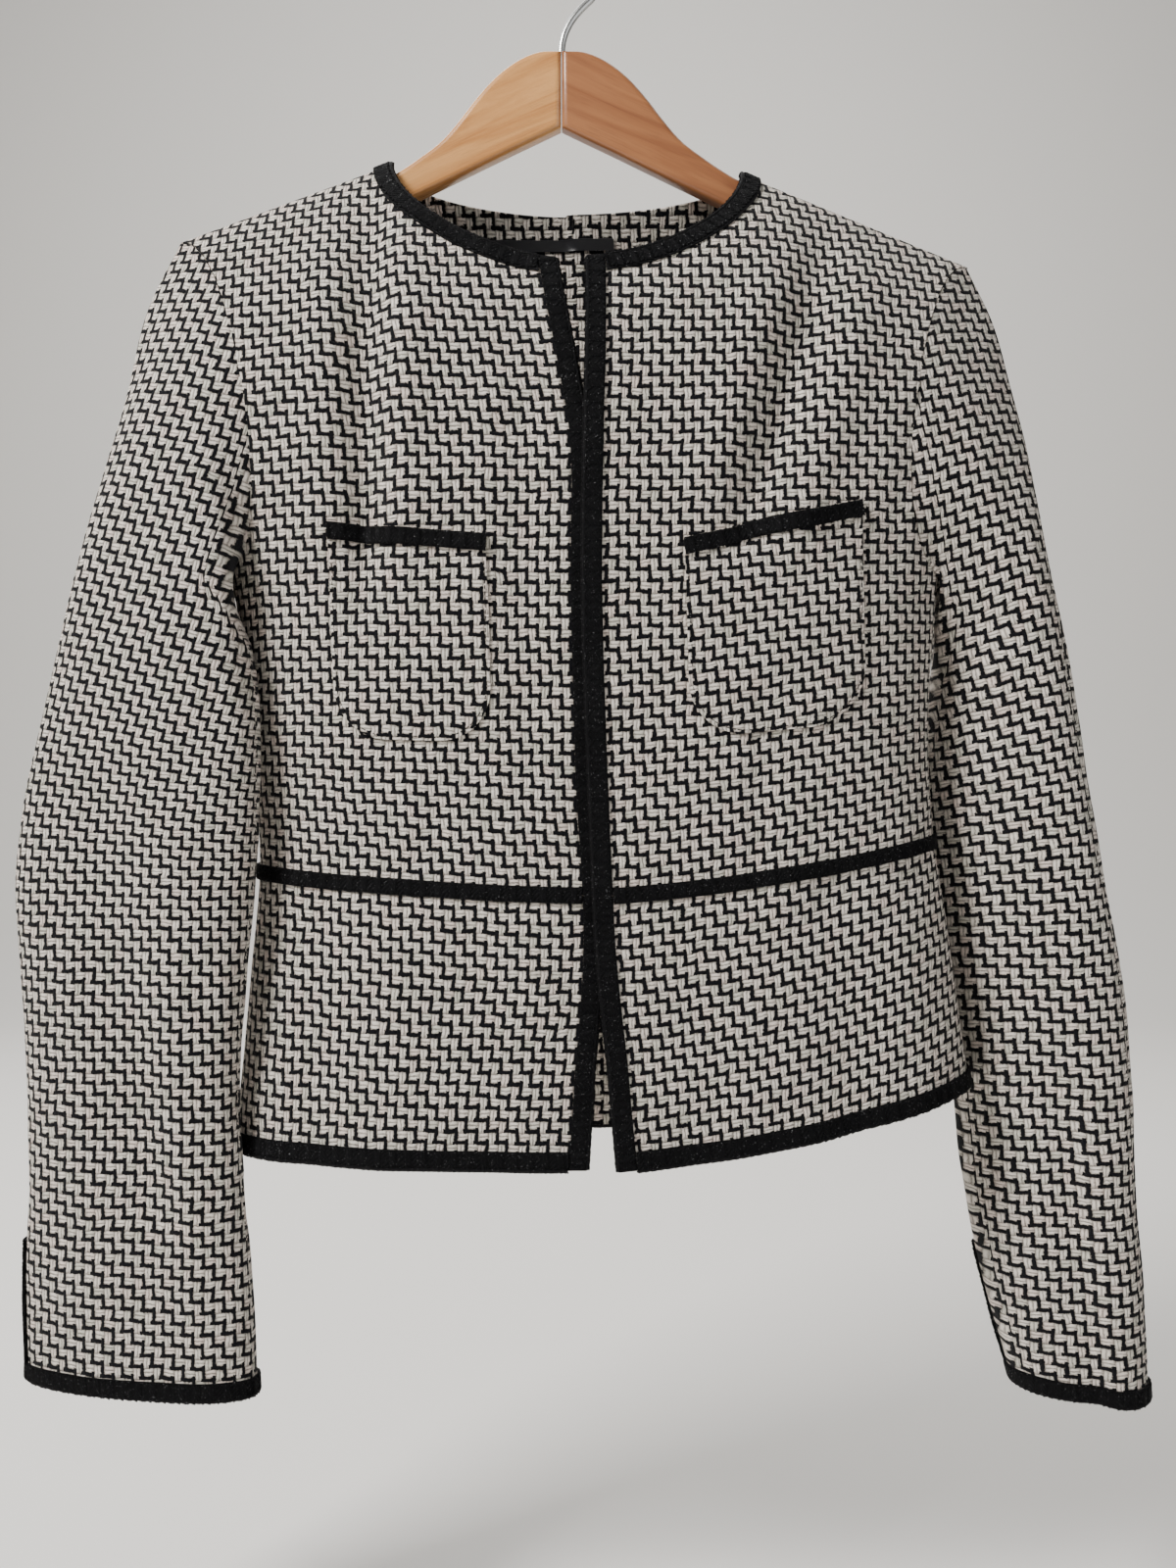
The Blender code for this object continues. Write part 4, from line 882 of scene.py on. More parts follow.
@dataclass
class Sheet:
    """A cloth piece with no thickness: its flat places, points, normals, faces and weave."""

    flat: Array
    points: Array
    normals: Array
    faces: Array
    weave: Array
    behind: Array | None = None
    weave_behind: Array | None = None

    @classmethod
    def draped(cls, pattern: tuple[Array, list[Array]], side: Side | None, back: bool) -> Sheet:
        """Cut a pattern and drape it on the body.

        Args:
            pattern: Outline and inner lines.
            side: The front's side, or None for a back piece.
            back: Whether it is a back piece.

        Returns:
            The draped sheet.
        """
        flat, faces = cut(*pattern)
        sheet = cls(flat, BodyForm.drape(flat, side, back), BodyForm.normals(flat, side, back),
                    faces, BodyForm.weave_places(flat, side))
        return sheet.faced()

    def faced(self) -> Sheet:
        """The sheet with its faces turned one way in the flat, and that way its normals' way."""
        flat = self.flat[self.faces]
        first, second = flat[:, 1] - flat[:, 0], flat[:, 2] - flat[:, 0]
        faces = self.faces.copy()
        turned = first[:, 0] * second[:, 1] - first[:, 1] * second[:, 0] < 0
        faces[turned] = faces[turned][:, ::-1]
        corners = self.points[faces]
        outward = np.cross(corners[:, 1] - corners[:, 0], corners[:, 2] - corners[:, 0])
        if (outward * self.normals[faces].sum(1)).sum() < 0:
            faces = faces[:, ::-1]
        return replace(self, faces=faces)

    def part(self, wanted: Test) -> Sheet:
        """The faces whose middles a test on flat places accepts."""
        middles = self.flat[self.faces].mean(1)
        faces = self.faces[wanted(middles[:, 0], middles[:, 1])]
        used, faces = np.unique(faces, return_inverse=True)
        return Sheet(self.flat[used], self.points[used], self.normals[used],
                     faces.reshape(-1, 3), self.weave[used])

    def border(self) -> Array:
        """The edges that only one face has, in that face's direction."""
        edges = np.vstack([self.faces[:, [0, 1]], self.faces[:, [1, 2]], self.faces[:, [2, 0]]])
        count = int(self.faces.max()) + 1
        forward = edges[:, 0].astype(np.int64) * count + edges[:, 1]
        backward = edges[:, 1].astype(np.int64) * count + edges[:, 0]
        return edges[~np.isin(forward, backward)]

    def inset(self, width: float) -> Sheet:
        """The sheet with its border drawn in over its own faces."""
        points = self.points.copy()
        pull = np.zeros_like(points)
        middles = points[self.faces].mean(1)
        for corner in range(3):
            np.add.at(pull, self.faces[:, corner], middles - points[self.faces[:, corner]])
        rim = np.unique(self.border())
        normal = self.normals[rim]
        way = pull[rim] - normal * (pull[rim] * normal).sum(1)[:, None]
        points[rim] += unit(way) * width
        return replace(self, points=points)

    def area(self) -> float:
        """Area of the draped sheet."""
        corners = self.points[self.faces]
        sides = np.cross(corners[:, 1] - corners[:, 0], corners[:, 2] - corners[:, 0])
        return float(np.linalg.norm(sides, axis=1).sum() / 2)

    def cut_places(self) -> Array:
        """Each point's place on the cut piece."""
        if self.behind is None:
            return self.weave
        return np.where(self.behind[:, None], self.weave_behind, self.weave)

    def flat_size(self) -> tuple[float, float]:
        """Width and length of the cut piece."""
        size = np.ptp(self.cut_places(), axis=0)
        return float(size[0]), float(size[1])

    def solid(self, name: str, wall: float, out: Array | float = 0.0) -> bpy.types.Object:
        """Give the sheet its thickness.

        Args:
            name: The piece's name.
            wall: The cloth's thickness.
            out: How far it is moved out, for the whole sheet or for each point.

        Returns:
            A closed wall, with the weave's coordinates as its UV map.
        """
        count = len(self.points)
        shift = np.broadcast_to(np.asarray(out, float), (count,))[:, None]
        upper = self.points + self.normals * (shift + wall / 2)
        lower = self.points + self.normals * (shift - wall / 2)
        faces = self.faces.tolist() + (self.faces[:, ::-1] + count).tolist()
        faces += [(end, start, start + count, end + count) for start, end in self.border().tolist()]
        made = mesh_object(name, np.vstack([upper, lower]), faces,
                           np.vstack([self.weave, self.weave]))
        if self.behind is not None:
            self.weave_by_face(made)
        return made

    def weave_by_face(self, piece: bpy.types.Object) -> None:
        """Give the faces behind a sleeve the back's weave coordinates, whole faces at a time."""
        mesh = piece.data
        corners = np.zeros(len(mesh.loops), np.int32)
        mesh.loops.foreach_get("vertex_index", corners)
        corners %= len(self.points)
        sizes = np.zeros(len(mesh.polygons), np.int32)
        mesh.polygons.foreach_get("loop_total", sizes)
        face = np.repeat(np.arange(len(sizes)), sizes)
        share = np.bincount(face, self.behind[corners]) / sizes
        places = np.where((share > 0.5)[face][:, None], self.weave_behind[corners],
                          self.weave[corners])
        mesh.uv_layers["cloth"].data.foreach_set("uv", places.astype(np.float32).ravel())


def placed(name: str, data: bpy.types.ID) -> bpy.types.Object:
    """A new object in the scene."""
    made = bpy.data.objects.new(name, data)
    bpy.context.scene.collection.objects.link(made)
    return made


def mesh_object(name: str, points: Array, faces: Sequence[Sequence[int]],
                weave: Array | None = None) -> bpy.types.Object:
    """Make a mesh object, shaded smooth up to sharp edges.

    Args:
        name: The object's name.
        points: Its points.
        faces: Its faces.
        weave: Each point's place on the cloth, for the UV map.

    Returns:
        The object, in the scene.
    """
    mesh = bpy.data.meshes.new(name)
    mesh.from_pydata(np.asarray(points).tolist(), [], faces)
    if weave is not None:
        layer = mesh.uv_layers.new(name="cloth")
        corners = np.zeros(len(mesh.loops), np.int32)
        mesh.loops.foreach_get("vertex_index", corners)
        layer.data.foreach_set("uv", weave[corners].astype(np.float32).ravel())
    mesh.shade_smooth()
    mesh.set_sharp_from_angle(angle=CLOTH_SHARP)
    return placed(name, mesh)


# Shaders

def operation(name: str, swapped: bool = False) -> Callable[..., Signal]:
    """A method that runs a Math node on a signal.

    Args:
        name: The node's operation.
        swapped: Whether the other value comes first.

    Returns:
        The method.
    """
    def method(self: Signal, *others: Signal | float) -> Signal:
        """The node's result."""
        return self.nodes.math(name, *((*others, self) if swapped else (self, *others)))
    return method


@dataclass(frozen=True)
class Signal:
    """A node's socket that Python's operators work on; less-than gives 1 or 0."""

    nodes: Nodes
    socket: bpy.types.NodeSocket

    __add__ = operation("ADD")
    __radd__ = operation("ADD", True)
    __sub__ = operation("SUBTRACT")
    __rsub__ = operation("SUBTRACT", True)
    __mul__ = operation("MULTIPLY")
    __rmul__ = operation("MULTIPLY", True)
    __truediv__ = operation("DIVIDE")
    __pow__ = operation("POWER")
    __mod__ = operation("FLOORED_MODULO")
    __lt__ = operation("LESS_THAN")
    __abs__ = operation("ABSOLUTE")
    floor = operation("FLOOR")
    fraction = operation("FRACT")

    def limited(self) -> Signal:
        """The value kept from 0 to 1."""
        return self.nodes.math("MINIMUM", self.nodes.math("MAXIMUM", self, 0.0), 1.0)

    def pick(self, when_one: Signal | float, when_zero: Signal | float) -> Signal:
        """One of two values, by this value of 1 or 0."""
        return self * when_one + (1 - self) * when_zero


Colour = tuple[float, float, float]


class Nodes:
    """A node tree, made one node at a time."""

    tree: bpy.types.NodeTree

    def node(self, kind: str, settings: dict[str, object] | None = None,
             inputs: dict[str | int, object] | None = None) -> bpy.types.Node:
        """Make a node.

        Args:
            kind: The node's type.
            settings: Its properties, set before its sockets.
            inputs: Values or links for its sockets, by name or number.

        Returns:
            The node.
        """
        made = self.tree.nodes.new(kind)
        for key, value in (settings or {}).items():
            setattr(made, key, value)
        for key, value in (inputs or {}).items():
            self.connect(made.inputs[key], value)
        return made

    def connect(self, socket: bpy.types.NodeSocket, value: object) -> None:
        """Set a socket to a value, or link it to a signal or another socket."""
        if isinstance(value, Signal):
            self.tree.links.new(value.socket, socket)
        elif isinstance(value, bpy.types.NodeSocket):
            self.tree.links.new(value, socket)
        else:
            socket.default_value = value

    def math(self, operation: str, *values: Signal | float) -> Signal:
        """A Math node's result."""
        made = self.node("ShaderNodeMath", {"operation": operation}, dict(enumerate(values)))
        return Signal(self, made.outputs[0])

    def vector(self, operation: str, *values: object) -> bpy.types.NodeSocket:
        """A Vector Math node's vector."""
        made = self.node("ShaderNodeVectorMath", {"operation": operation}, dict(enumerate(values)))
        return made.outputs[0]


class Shader(Nodes):
    """A material's nodes."""

    def __init__(self, name: str) -> None:
        """Start a material with only its Principled shader.

        Args:
            name: The material's name.
        """
        self.material = bpy.data.materials.new(name)
        self.material.use_nodes = True
        self.tree = self.material.node_tree
        self.surface = self.tree.nodes["Principled BSDF"]

    def mix(self, share: Signal | float, first: object, second: object) -> bpy.types.NodeSocket:
        """Mix two colours.

        Args:
            share: How much of the second.
            first: A colour or a colour socket.
            second: A colour or a colour socket.

        Returns:
            The mixed colour's socket.
        """
        values = {0: share, 6: self.colour(first), 7: self.colour(second)}
        return self.node("ShaderNodeMix", {"data_type": "RGBA"}, values).outputs[2]

    @staticmethod
    def colour(value: object) -> object:
        """A colour with its alpha, or the socket it already is."""
        return (*value, 1.0) if isinstance(value, tuple) else value

    def noise(self, where: object, scale: float, detail: float = 2.0, roughness: float = 0.5,
              distortion: float = 0.0) -> bpy.types.Node:
        """A noise texture's node."""
        return self.node("ShaderNodeTexNoise", {}, {
            "Vector": where, "Scale": scale, "Detail": detail, "Roughness": roughness,
            "Distortion": distortion})

    def grain(self, *settings: object) -> Signal:
        """A noise texture's value."""
        return Signal(self, self.noise(*settings).outputs["Fac"])

    def bump(self, height: Signal, distance: float, strength: float) -> None:
        """Raise the surface by a height."""
        made = self.node("ShaderNodeBump", {}, {
            "Height": height, "Distance": distance, "Strength": strength})
        self.connect(self.surface.inputs["Normal"], made.outputs["Normal"])

    def set(self, **values: object) -> None:
        """Set the Principled shader's sockets, with underscores for spaces."""
        for key, value in values.items():
            self.connect(self.surface.inputs[key.replace("_", " ")], self.colour(value))

    def places(self) -> tuple[bpy.types.NodeSocket, bpy.types.NodeSocket]:
        """The object's own coordinates, and the cloth's."""
        made = self.node("ShaderNodeTexCoord")
        return made.outputs["Object"], made.outputs["UV"]


@dataclass(frozen=True)
class TweedFinish:
    """Two-and-two twill of thick cream and thin black yarns, matt and slightly fuzzy, with painted
    shade along and between the yarns.
    """

    name: str = "tweed"
    pair_across: float = 0.0053
    pair_down: float = 0.0057
    dark_share: float = 0.34
    cream: Colour = (0.90, 0.83, 0.745)
    pink: Colour = (0.83, 0.69, 0.62)
    green: Colour = (0.58, 0.58, 0.49)
    black: Colour = (0.005, 0.005, 0.007)
    shift_across: float = 0.0
    shift_down: float = 0.0
    turn: float = 0.0
    lap: float = 0.17

    def yarn(self, place: Signal) -> Signal:
        """The number of the yarn at a place counted in pairs of yarns."""
        return place.floor() * 2 + (1 - (place.fraction() < self.dark_share))

    @staticmethod
    def raised(warp: Signal, weft: Signal) -> Signal:
        """Whether the warp is over the weft, by the numbers of the two yarns."""
        return ((warp - weft + 2) % 4) < 1.5

    def material(self) -> bpy.types.Material:
        """Make the tweed's material.

        Returns:
            The material.
        """
        shader = Shader(self.name)
        place, cloth = shader.places()
        slow = shader.noise(place, 70.0, 2.0)
        fast = shader.noise(place, 1100.0, 3.0, 0.6)
        moved = shader.node("ShaderNodeMapping", {}, {
            "Vector": cloth, "Rotation": (0.0, 0.0, self.turn),
            "Location": (self.shift_across, self.shift_down, 0.0)})
        wander = shader.vector("SUBTRACT", slow.outputs["Color"], (0.5, 0.5, 0.5))
        fray = shader.vector("SUBTRACT", fast.outputs["Color"], (0.5, 0.5, 0.5))
        uneven = shader.vector("ADD", shader.vector("MULTIPLY", wander, (0.0030, 0.0030, 0.0)),
                               shader.vector("MULTIPLY", fray, (0.0017, 0.0017, 0.0)))
        at = shader.node("ShaderNodeSeparateXYZ", {}, {
            0: shader.vector("ADD", moved.outputs[0], uneven)})
        over = Signal(shader, at.outputs[0]) / self.pair_across
        down = Signal(shader, at.outputs[1]) / -self.pair_down
        share = self.dark_share
        over_part, down_part = over.fraction(), down.fraction()
        warp_dark = over_part < share
        weft_dark = down_part < share
        warp_number = self.yarn(over)
        weft_number = self.yarn(down)
        up = self.raised(warp_number, weft_number)
        up_beside = self.raised(self.yarn(over + self.lap), weft_number)
        up_below = self.raised(warp_number, self.yarn(down - self.lap))

        warp_side = warp_dark.pick(over_part / share,
                                   ((over_part - share) * 2 / (1 - share)).fraction())
        weft_side = weft_dark.pick(down_part / share,
                                   ((down_part - share) * 2 / (1 - share)).fraction())
        warp_place = down - warp_dark * share
        weft_place = over - (1 - weft_dark) * share
        warp_way, weft_way = warp_place.fraction(), weft_place.fraction()
        side = up.pick(warp_side, weft_side) * 2 - 1
        way = up.pick(warp_way, weft_way) * 2 - 1
        round_side = (1 - side * side).limited() ** 0.5
        round_way = (1 - abs(way) ** 3.0).limited() ** 0.6
        height = round_side * round_way
        dark = (warp_dark * (up + up_below) + weft_dark * (1 - up * up_beside)).limited()

        cell = shader.node("ShaderNodeCombineXYZ", {}, {
            0: up.pick(warp_number, weft_place.floor() + 37.0),
            1: up.pick(warp_place.floor(), weft_number + 11.0),
            2: up})
        chance = shader.node("ShaderNodeTexWhiteNoise", {"noise_dimensions": "3D"}, {
            "Vector": cell.outputs[0]})
        tint = Signal(shader, chance.outputs["Value"])
        fibre = shader.grain(place, 2600.0, 3.0, 0.7)
        patch = shader.grain(place, 26.0, 3.0)

        pale = shader.mix((tint * 1.6 - 0.9).limited(), self.cream, self.pink)
        pale = shader.mix(((0.32 - tint) * 3.0 + (patch - 0.5) * 0.6).limited() * 0.65, pale,
                          self.green)
        speck = ((fibre - 0.60) * 9.0).limited() * 0.30
        pale = shader.mix(speck, pale, (0.20, 0.18, 0.15))
        night = shader.mix(((fibre - 0.58) * 7.0).limited() * 0.5, self.black,
                           (0.030, 0.030, 0.034))
        colour = shader.mix(dark, pale, night)
        # Painted shade: the base colour darkens towards a tan or near-black valley colour at the
        # yarns' rounded sides, along the line between each cream float's two strands, and in the
        # valleys between yarns
        shade = (0.12 + 0.88 * height) * (0.80 + 0.40 * fibre)
        painted_valley_shade = shader.mix(dark, (0.085, 0.066, 0.052), (0.003, 0.003, 0.004))
        colour = shader.mix(1.0 - shade.limited(), colour, painted_valley_shade)
        shader.set(Base_Color=colour, Roughness=0.95, Sheen_Weight=0.05, Sheen_Roughness=0.45,
                   Specular_IOR_Level=0.10)
        relief = height * (1 - dark * 0.25) + (fibre - 0.5) * 0.35
        shader.bump(relief, 0.0014, 0.9)
        return shader.material


@dataclass(frozen=True)
class BraidFinish:
    """Black corded braid with faint glints painted into its colour as pale flecks."""

    name: str = "braid"
    black: Colour = (0.0016, 0.0016, 0.0022)
    worn: Colour = (0.007, 0.007, 0.008)

    def material(self) -> bpy.types.Material:
        """Make the braid's material.

        Returns:
            The material.
        """
        shader = Shader(self.name)
        place, _ = shader.places()
        fine = shader.grain(place, 2400.0, 3.0, 0.7)
        broad = shader.grain(place, 160.0, 2.0)
        colour = shader.mix(((fine - 0.52) * 6.0).limited() * 0.7, self.black, self.worn)
        # Painted highlight: small pale grey flecks in the base colour stand in for glints on the
        # cords
        painted_glint = ((shader.grain(place, 1500.0, 1.0) - 0.71) * 20.0).limited()
        colour = shader.mix(painted_glint * 0.8, colour, (0.30, 0.30, 0.31))
        shader.set(Base_Color=colour, Roughness=(0.55 + broad * 0.35).limited(),
                   Specular_IOR_Level=0.14)
        shader.bump(fine, 0.0004, 0.6)
        return shader.material


@dataclass(frozen=True)
class SatinFinish:
    """Smooth black satin of the neck tape."""

    name: str = "satin"

    def material(self) -> bpy.types.Material:
        """Make the satin's material."""
        shader = Shader(self.name)
        _, cloth = shader.places()
        stretched = shader.vector("MULTIPLY", cloth, (300.0, 6000.0, 1.0))
        threads = shader.grain(stretched, 1.0, 2.0)
        colour = shader.mix(threads * 0.5, (0.008, 0.008, 0.010), (0.022, 0.022, 0.025))
        shader.set(Base_Color=colour, Roughness=(0.30 + threads * 0.2).limited(),
                   Sheen_Weight=0.1)
        shader.bump(threads, 0.0002, 0.4)
        return shader.material


@dataclass(frozen=True)
class WoodFinish:
    """Lacquered wood whose grain runs along a hanger's arm."""

    name: str
    pale: Colour
    deep: Colour
    gloss: float
    lean: float

    def material(self) -> bpy.types.Material:
        """Make the wood's material.

        Returns:
            The material.
        """
        shader = Shader(self.name)
        place, _ = shader.places()
        turned = shader.node("ShaderNodeMapping", {}, {
            "Vector": place, "Rotation": (0.0, self.lean, 0.0)})
        along = shader.vector("MULTIPLY", turned.outputs[0], (5.0, 60.0, 60.0))
        warp = shader.noise(along, 0.9, 2.0)
        bent = shader.vector("ADD", along, shader.vector(
            "MULTIPLY", warp.outputs["Color"], (1.4, 1.4, 1.4)))
        rings = shader.grain(bent, 1.6, 4.0, 0.55, 0.6)
        fine = shader.vector("MULTIPLY", turned.outputs[0], (60.0, 1500.0, 1500.0))
        pores = shader.grain(fine, 1.0, 2.0, 0.6)
        broad = shader.grain(place, 14.0, 2.0)
        streak = ((rings - 0.40) * 3.2).limited()
        colour = shader.mix(streak, self.pale, self.deep)
        colour = shader.mix(((pores - 0.56) * 5.0).limited() * 0.35, colour,
                            (self.deep[0] * 0.45, self.deep[1] * 0.45, self.deep[2] * 0.45))
        colour = shader.mix(((broad - 0.45) * 2.0).limited() * 0.25, colour, self.deep)
        shader.set(Base_Color=colour, Coat_Weight=0.5, Coat_Roughness=0.18,
                   Roughness=(self.gloss + pores * 0.15).limited())
        shader.bump(pores * 0.4 + rings * 0.6, 0.0003, 0.25)
        return shader.material


@dataclass(frozen=True)
class SteelFinish:
    """Bright drawn steel wire."""

    name: str = "steel"

    def material(self) -> bpy.types.Material:
        """Make the steel's material."""
        shader = Shader(self.name)
        place, _ = shader.places()
        drawn = shader.grain(place, 900.0, 3.0)
        dull = shader.grain(place, 120.0, 2.0)
        colour = shader.mix(dull * 0.6, (0.66, 0.66, 0.65), (0.46, 0.46, 0.45))
        shader.set(Base_Color=colour, Metallic=1.0, Roughness=(0.18 + dull * 0.22).limited())
        shader.bump(drawn, 0.0001, 0.2)
        return shader.material


@dataclass(frozen=True)
class PaperFinish:
    """Plain pale floor and sweep."""

    name: str = "floor"
    colour: Colour = (0.80, 0.78, 0.75)

    def material(self) -> bpy.types.Material:
        """Make the floor's material."""
        shader = Shader(self.name)
        shader.set(Base_Color=self.colour, Roughness=0.9, Specular_IOR_Level=0.1)
        return shader.material


class Finish(Enum):
    """The finishes of the jacket and its hanger."""

    TWEED = TweedFinish()
    RIGHT_POCKET = TweedFinish("right_pocket_tweed", shift_across=0.0009, shift_down=0.0013)
    LEFT_POCKET = TweedFinish("left_pocket_tweed", shift_across=-0.0012, shift_down=0.0016,
                              turn=0.05)
    BRAID = BraidFinish()
    SATIN = SatinFinish()
    # Painted light: the two arms are one wood, given a paler, glossier lit copy and a darker shaded
    # copy
    PAINTED_LIT_WOOD = WoodFinish("light_wood", (0.66, 0.33, 0.115), (0.42, 0.165, 0.045), 0.20, 0.42)
    PAINTED_SHADED_WOOD = WoodFinish("dark_wood", (0.34, 0.135, 0.050), (0.20, 0.066, 0.023), 0.34, -0.42)
    STEEL = SteelFinish()
    PAPER = PaperFinish()


MADE: dict[Finish, bpy.types.Material] = {}


def finish(which: Finish) -> bpy.types.Material:
    """The material of a finish, made once."""
    if which not in MADE:
        MADE[which] = which.value.material()
    return MADE[which]


def keep(piece: bpy.types.Object, which: Finish, slot: str,
         nodes: Iterable[str] = ()) -> bpy.types.Object:
    """Dress a piece and hand it to the frame.

    Args:
        piece: The piece.
        which: Its finish.
        slot: The record's material slot; not used.
        nodes: The CAD nodes it stands for.

    Returns:
        The piece.
    """
    piece.data.materials.clear()
    piece.data.materials.append(finish(which))
    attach(piece, BODY_NAME)
    if nodes:
        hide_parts(*nodes)
    LOG.info("%s: %d faces", piece.name, len(piece.data.polygons))
    return piece


# Node trees that repeat things along paths

class NodeTree(Nodes):
    """A Geometry Nodes tree."""

    def __init__(self, name: str, inputs: dict[str, tuple[str, object]]) -> None:
        """Start a tree with named inputs.

        Args:
            name: The tree's name.
            inputs: Each input's socket type and value.
        """
        self.tree = bpy.data.node_groups.new(name, "GeometryNodeTree")
        self.values: dict[str, object] = {}
        face = self.tree.interface
        face.new_socket("Geometry", in_out="INPUT", socket_type="NodeSocketGeometry")
        for key, (kind, value) in inputs.items():
            made = face.new_socket(key, in_out="INPUT", socket_type=kind)
            self.values[made.identifier] = value
        face.new_socket("Geometry", in_out="OUTPUT", socket_type="NodeSocketGeometry")
        self.start = self.tree.nodes.new("NodeGroupInput")
        self.end = self.tree.nodes.new("NodeGroupOutput")

    def input(self, name: str) -> Signal:
        """A named input's signal."""
        return Signal(self, self.start.outputs[name])

    def out(self, kind: str, inputs: dict[str | int, object],
            settings: dict[str, object] | None = None) -> Signal:
        """Make a node and give its first output."""
        return Signal(self, self.node(kind, settings, inputs).outputs[0])

    def attribute(self, name: str, kind: str) -> Signal:
        """A named attribute's field."""
        return self.out("GeometryNodeInputNamedAttribute", {"Name": name}, {"data_type": kind})

    def finished(self, geometry: Signal) -> None:
        """End the tree by realizing its instances and giving them their finish."""
        real = self.out("GeometryNodeRealizeInstances", {"Geometry": geometry})
        dressed = self.out("GeometryNodeSetMaterial", {
            "Geometry": real, "Material": self.input("Finish")})
        self.connect(self.end.inputs[0], dressed)

    def applied(self, source: bpy.types.Object, name: str) -> bpy.types.Object:
        """Run the tree on an object and keep the result as a plain mesh.

        Args:
            source: The object the tree reads, removed afterwards.
            name: The new object's name.

        Returns:
            The new object.
        """
        modifier = source.modifiers.new("tree", "NODES")
        modifier.node_group = self.tree
        for identifier, value in self.values.items():
            modifier[identifier] = value
        graph = bpy.context.evaluated_depsgraph_get()
        mesh = bpy.data.meshes.new_from_object(source.evaluated_get(graph), depsgraph=graph)
        mesh.name = name
        source.modifiers.remove(modifier)
        bpy.data.objects.remove(source)
        return placed(name, mesh)


@dataclass(frozen=True)
class Path:
    """A line on the cloth with the ways across it and out of it."""

    points: Array
    outward: Array

    def resampled(self, step: float) -> Path:
        """The path with its points evenly spaced."""
        gaps = np.linalg.norm(np.diff(self.points, axis=0), axis=1)
        fresh = np.concatenate([[True], gaps > 1e-6])
        points, outward = self.points[fresh], self.outward[fresh]
        along = lengths_along(points)
        at = np.linspace(0, along[-1], max(2, int(round(along[-1] / step)) + 1))
        return Path(between(at, along, points), unit(between(at, along, outward)))

    def raised(self, height: float) -> Path:
        """The path moved out of the cloth."""
        return Path(self.points + self.outward * height, self.outward)

    def rim(self, middle: Path, lift: float = 0.0006) -> Path:
        """The path of a cloth's free edge, turned to face away from the cloth.

        Args:
            middle: A path inside the edge, which runs the same way.
            lift: How far it is moved out of the cloth's middle.

        Returns:
            The path, whose outward way is away from the cloth.
        """
        away = unit(np.cross(np.gradient(self.points, axis=0), self.outward))
        gaps = np.linalg.norm(self.points[:, None] - middle.points[None], axis=2)
        other = middle.points[gaps.argmin(1)]
        sign = 1.0 if (away * (self.points - other)).sum() > 0 else -1.0
        return Path(self.points + self.outward * lift, away * sign)

    def swept(self, name: str, half: float, thick: float) -> bpy.types.Object:
        """A flat closed strip along the path.

        Args:
            name: The strip's name.
            half: Half its width.
            thick: Its thickness, outward from the path.

        Returns:
            The strip.
        """
        across = unit(np.cross(self.outward, np.gradient(self.points, axis=0)))
        corners = ((-half, -thick), (half, -thick), (half, thick * 0.2), (0.5 * half, thick),
                   (-0.5 * half, thick), (-half, thick * 0.2))
        rings = [self.points + across * side + self.outward * out for side, out in corners]
        count, last = len(corners), len(self.points) - 1
        points = np.stack(rings, axis=1).reshape(-1, 3)
        faces = [(row * count + i, row * count + (i + 1) % count,
                  (row + 1) * count + (i + 1) % count, (row + 1) * count + i)
                 for row in range(last) for i in range(count)]
        faces += [tuple(range(count))[::-1], tuple(last * count + i for i in range(count))]
        return mesh_object(name, points, faces)

    def mesh(self, name: str) -> bpy.types.Object:
        """A mesh of the path's edges, with its ways stored on its points."""
        count = len(self.points)
        mesh = bpy.data.meshes.new(name)
        mesh.from_pydata(self.points.tolist(), [(i, i + 1) for i in range(count - 1)], [])
        tangents = unit(np.gradient(self.points, axis=0))
        across = unit(np.cross(self.outward, tangents))
        for key, values in (("across", across), ("outward", self.outward)):
            layer = mesh.attributes.new(key, "FLOAT_VECTOR", "POINT")
            layer.data.foreach_set("vector", values.astype(np.float32).ravel())
        layer = mesh.attributes.new("along", "FLOAT", "POINT")
        layer.data.foreach_set("value", lengths_along(self.points).astype(np.float32))
        return placed(name, mesh)


